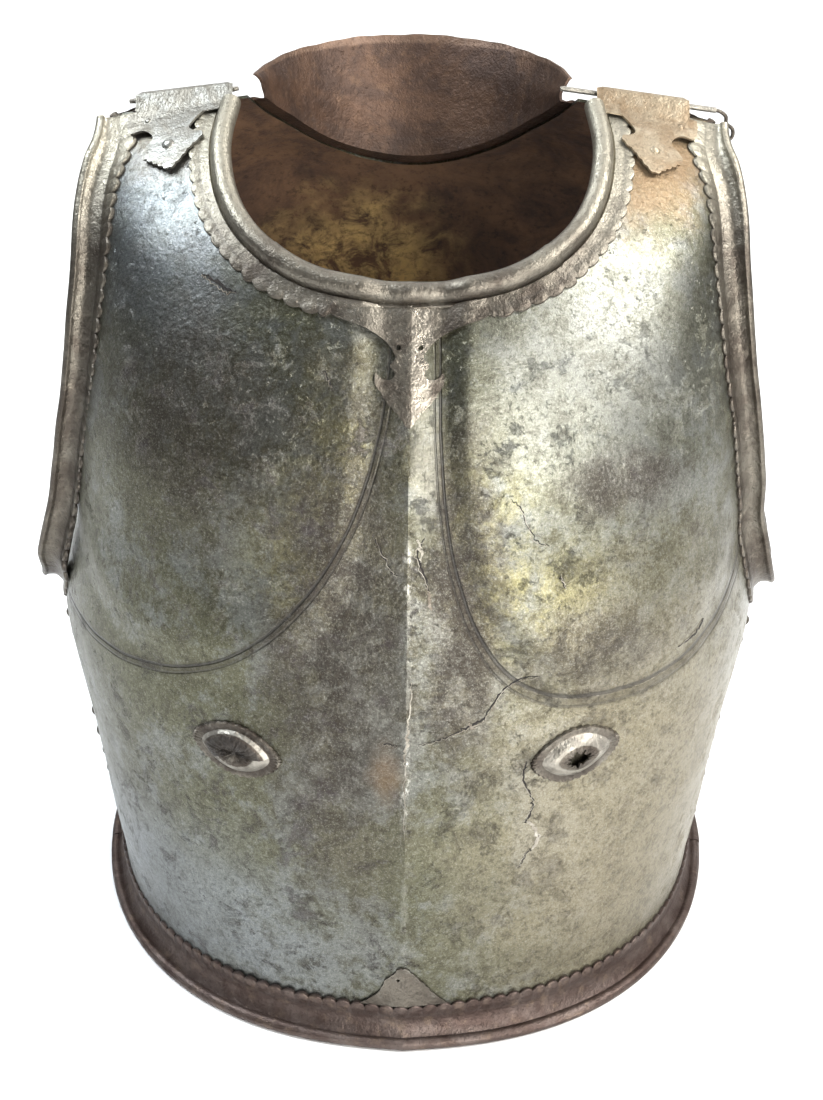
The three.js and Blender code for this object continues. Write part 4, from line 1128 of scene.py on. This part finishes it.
def boss(side, name, broken):
    """Almond plate with a scalloped rim and a hollow dome. The broken one has a ragged hole."""
    sides = BOSS["sides"]
    rng = np.random.default_rng(11 if broken else 5)
    turns = 2 * np.pi * np.arange(sides) / sides
    lobe = np.abs(np.sin(turns * BOSS["lobes"] / 2))
    torn = 1 + 0.35 * rng.uniform(-1, 1, sides // 4).repeat(4)
    over, under, worn = [], [], []
    for size, broken_lift, whole_lift in BOSS_RINGS[:-2 if broken else None]:
        lift = broken_lift if broken else whole_lift
        reach = size * (1 + 0.055 * lobe if size > 0.88 else 1) * (torn if broken and size < 0.3 else 1)
        a = BOSS["half_length"] * reach * np.cos(turns)
        b = BOSS["half_width"] * reach * np.sin(turns) * (1 - BOSS["pinch"] * np.cos(turns) ** 2)
        x, z = side * (BOSS["x"] + a), BOSS["z"] + b + BOSS["drop"] * a
        bumps = 0.6 * lobe * (0.88 < size < 0.99)
        rough = 0.35 * rng.uniform(-1, 1, sides) * (size < (0.4 if broken else 0.5))
        over.append(skin_at(FRONT, x, z, lift + bumps + rough))
        under.append(skin_at(FRONT, x, z, max(0.3, lift - 1.2)))
        tone = np.full(sides, 0.78 if 0.4 < size < 0.8 else 0.62 if size > 0.95 else 0.32)
        if not broken and size < 0.62:
            tone[np.sin(turns + 0.4) > -0.35] = 0.12
        worn.append(tone)
    around = np.arange(sides + 1) % sides
    shape = Shape()
    shape.shell(np.array(over)[:, around], np.array(under)[:, around], 0, 1, np.array(worn)[:, around])
    if not broken:
        shape.add(over[-1], [tuple(range(sides))], 0, 0.1)
        shape.add(under[-1], [tuple(range(sides))[::-1]], 1, 0.1)
    shape.build(name, [BRIGHT, CRACK], name, "worn_iron", sharp=45)


PATCH_EDGE = [
    (-22, 23.2), (-13, 32), (-9.5, 40.5), (-5, 45.5), (-2.6, 49.4), (1.2, 49.6), (4.2, 46), (10, 38.5),
    (16, 30), (22, 23.2),
]


def on_breastplate(x, z, lift):
    return skin_at(FRONT, x, z, lift)


def patch():
    """The small ragged plate on the ridge above the hem."""
    outline = np.concatenate([catmull(PATCH_EDGE, 5), [(11, 23), (0, 23), (-11, 23)]])
    rng = np.random.default_rng(4)
    outline[1:-4] += rng.uniform(-0.35, 0.35, outline[1:-4].shape)
    shape = Shape()
    leaf(shape, [outline, ring(-2.8, 41.8, 0.9, 9, 0.2)], 1.8, on_breastplate, (1.1, 0.1), 0.5)
    shape.build("ridge_patch", [BRIGHT], "ridge_patch", "worn_iron")


def crack(shape, points, widths, seed, lift):
    """A jagged slit or lip along points. Returns its line, its sideways directions and its widths."""
    rng = np.random.default_rng(seed)
    line = catmull(points, 7)
    line[1:-1] += rng.normal(0, 0.45, line[1:-1].shape)
    width = np.interp(np.linspace(0, 1, len(line)), np.linspace(0, 1, len(widths)), widths)
    width = width * (1 + 0.35 * rng.uniform(-1, 1, len(line)))
    off = beside(line)
    edges = [line + off * (width * share)[:, None] for share in (-0.5, 0.5)]
    over, under = (np.stack([on_breastplate(*edge.T, rise) for edge in edges], 1) for rise in (lift, -0.3))
    shape.shell(over, under)
    return line, off, width


# dark slits and bare scuffs on the breastplate: points across and up, and widths along them
SLITS = [
    ([(-93.5, 387.7), (-88.2, 386.1), (-83.3, 383.1), (-77.6, 380.7)], [0.3, 1.4, 2.2, 0.4]),
    ([(5.7, 182.8), (16, 184.8), (23, 187.8), (30, 191.1), (36.4, 194.9), (43.6, 205.6), (51.9, 212.4),
      (63.6, 213.6)], [0.3, 0.6, 0.8, 1.5, 1.3, 0.9, 1.0, 0.2]),
    ([(57.6, 168.8), (56.5, 158.9), (61.3, 146.7), (60.7, 138), (58.4, 133.7)], [0.6, 1.4, 1.0, 1.2, 1.6]),
    ([(61, 118), (58.3, 112.5), (55.5, 106.8)], [1.2, 0.8, 0.2]),
    ([(-75.5, 127.7), (-73.8, 120.9), (-71.5, 113.5)], [0.6, 0.9, 0.4]),
    ([(144.9, 217.7), (142.4, 213), (137, 210.7), (131.6, 210.1)], [1.2, 1.5, 1.2, 0.3]),
    ([(-15.8, 185.5), (-9.7, 182.6), (-4.1, 182.7)], [0.3, 0.9, 0.5]),
    ([(45.7, 300.7), (50.4, 295.9), (57.7, 281.4), (63.8, 277.4)], [0.3, 0.8, 0.7, 0.2]),
    ([(70, 262), (70.5, 258.6), (73, 255)], [0.2, 1.0, 0.2]),
    ([(-14.8, 283.3), (-10, 272), (-7, 267.1), (-3.4, 264.8)], [0.2, 0.8, 1.0, 0.4]),
    ([(8.1, 284), (4.7, 276.6), (8, 264.9), (10.4, 253.1)], [0.4, 1.2, 0.9, 0.5]),
    ([(-37.5, 352.5), (-35.2, 348), (-33, 344.8)], [0.4, 1.0, 0.4]),
]
SCUFFS = [
    ([(58.9, 134.5), (63, 130), (65, 123), (62, 117.5)], [1.4, 3.4, 4.6, 1.6]),
    ([(2.2, 215), (1.6, 200), (0.6, 191.6)], [0.5, 1.4, 1.8]),
    ([(0.6, 191), (0.4, 184), (-0.2, 178.5)], [1.8, 4.0, 2.0]),
    ([(-0.3, 178.5), (-0.5, 170), (-0.6, 150), (-0.4, 130)], [2.0, 1.6, 0.9, 0.3]),
    ([(30, 192.5), (31, 190.2), (32, 189)], [1.2, 2.4, 0.8]),
    ([(9.5, 258), (10.5, 253), (10.8, 249)], [1.0, 3.6, 1.4]),
    ([(4.4, 283), (5.6, 279), (6.0, 272)], [1.0, 3.2, 1.0]),
]


def damage():
    """Every slit has a thin pale lip beside it."""
    dark, pale = Shape(), Shape()
    for seed, (points, widths) in enumerate(SLITS):
        line, off, width = crack(dark, points, [w * 0.7 for w in widths], seed, 0.16)
        lip = line + off * (width * 0.9)[:, None]
        crack(pale, lip[::7], [0.08, 0.26, 0.3, 0.08], seed + 40, 0.18)
    for seed, (points, widths) in enumerate(SCUFFS):
        crack(pale, points, [w * 0.42 for w in widths], seed + 80, 0.22)
    dark.build("cracks", [CRACK], None, "dark_iron", sharp=60)
    pale.build("crack_lips", [SCUFF], None, "worn_iron", sharp=60)


for side, word in ((1, "right"), (-1, "left")):
    side_strip(side, word)
    front_iron = STRAP_RUST if side > 0 else STRAP
    strap(FRONT, side, f"shoulder_strap_front_{word}", front_iron, FRONT_HOLES[side], FRONT_RIVETS[side])
    strap(BACK, side, f"shoulder_strap_back_{word}", STRAP_RUST, [], BACK_RIVETS)
    boss(side, f"boss_{word}", side > 0)
shoulder_pins()
neck_guard()
patch()
damage()


# ---------------------------------------------------------------- floor, light and camera

def link(name, data):
    made = bpy.data.objects.new(name, data)
    bpy.context.scene.collection.objects.link(made)
    return made


def floor():
    reach = 2.4
    corners = [(-reach, -reach, 0), (reach, -reach, 0), (reach, reach, 0), (-reach, reach, 0)]
    mesh = bpy.data.meshes.new("floor")
    mesh.from_pydata(corners, [], [(0, 1, 2, 3)])
    sheet = link("floor", mesh)
    paper = Shader("floor_paper", (0.90, 0.90, 0.90))
    grain = paper.noise(300, 3)
    paper.coat(grain, (0.93, 0.93, 0.93))
    mesh.materials.append(paper.done(0.9, 0.0, paper.bump(grain, 0.0002)))


def softbox(name, place, target, size, power, colour):
    light = bpy.data.lights.new(name, "AREA")
    light.shape = "RECTANGLE"
    light.size, light.size_y = size
    light.energy = power
    light.color = colour
    box = link(name, light)
    box.location = place
    box.rotation_euler = (Vector(target) - Vector(place)).to_track_quat("-Z", "Y").to_euler()


def studio():
    """A pale surround for the camera that lights the part only faintly."""
    world = bpy.data.worlds.new("studio")
    world.use_nodes = True
    tree = world.node_tree
    surround = tree.nodes["Background"]
    surround.inputs["Color"].default_value = (0.96, 0.98, 1.0, 1)
    seen = tree.nodes.new("ShaderNodeLightPath")
    strength = tree.nodes.new("ShaderNodeMath")
    strength.operation = "MULTIPLY_ADD"
    tree.links.new(seen.outputs["Is Camera Ray"], strength.inputs[0])
    strength.inputs[1].default_value = 0.85
    strength.inputs[2].default_value = 0.11
    tree.links.new(strength.outputs[0], surround.inputs["Strength"])
    bpy.context.scene.world = world
    bpy.context.scene.view_settings.view_transform = "Standard"


def lights():
    breast, shoulders, trunk = (0.09, -0.07, 0.36), (0, 0, 0.42), (0, 0, 0.25)
    softbox("window_right", (1.46, -0.45, 1.62), breast, (0.75, 0.8), 58, (1.0, 0.99, 0.97))
    softbox("wide_right", (1.35, -1.30, 1.00), breast, (1.2, 1.0), 9, (1.0, 0.985, 0.95))
    softbox("strip_right", (0.68, -1.84, 0.56), breast, (0.5, 1.2), 42, (1.0, 0.99, 0.96))
    softbox("back_right", (1.15, 0.75, 1.80), shoulders, (0.8, 0.6), 10, (1.0, 0.99, 0.97))
    softbox("window_left", (-1.20, 0.10, 1.95), shoulders, (1.0, 0.8), 50, (0.86, 0.93, 1.0))
    softbox("top", (0, 0.3, 2.6), trunk, (2.4, 1.6), 20, (1, 1, 1))
    softbox("far_floor", (0, 3.0, 2.4), (0, 2.9, 0), (4.0, 2.2), 90, (1, 1, 1))


def camera():
    """The photo's view: a lens 1.64 times as long as the picture's longer side."""
    lens = bpy.data.cameras.new("camera")
    lens.sensor_width = 36
    lens.lens = 36 * 1800 / 1100
    pitch, roll = math.radians(29.1), math.radians(0.6)
    ahead = Vector((0, math.cos(pitch), -math.sin(pitch)))
    right = Vector((1, 0, 0))
    up = right.cross(ahead)
    local_x = right * math.cos(roll) + up * math.sin(roll)
    local_y = up * math.cos(roll) - right * math.sin(roll)
    turn = Matrix((local_x, local_y, -ahead)).transposed().to_4x4()
    eye = link("camera", lens)
    eye.matrix_world = Matrix.Translation((0.0017, (CENTRE_SHIFT - 866.4) * MM, 0.6766)) @ turn
    bpy.context.scene.camera = eye


floor()
studio()
lights()
camera()
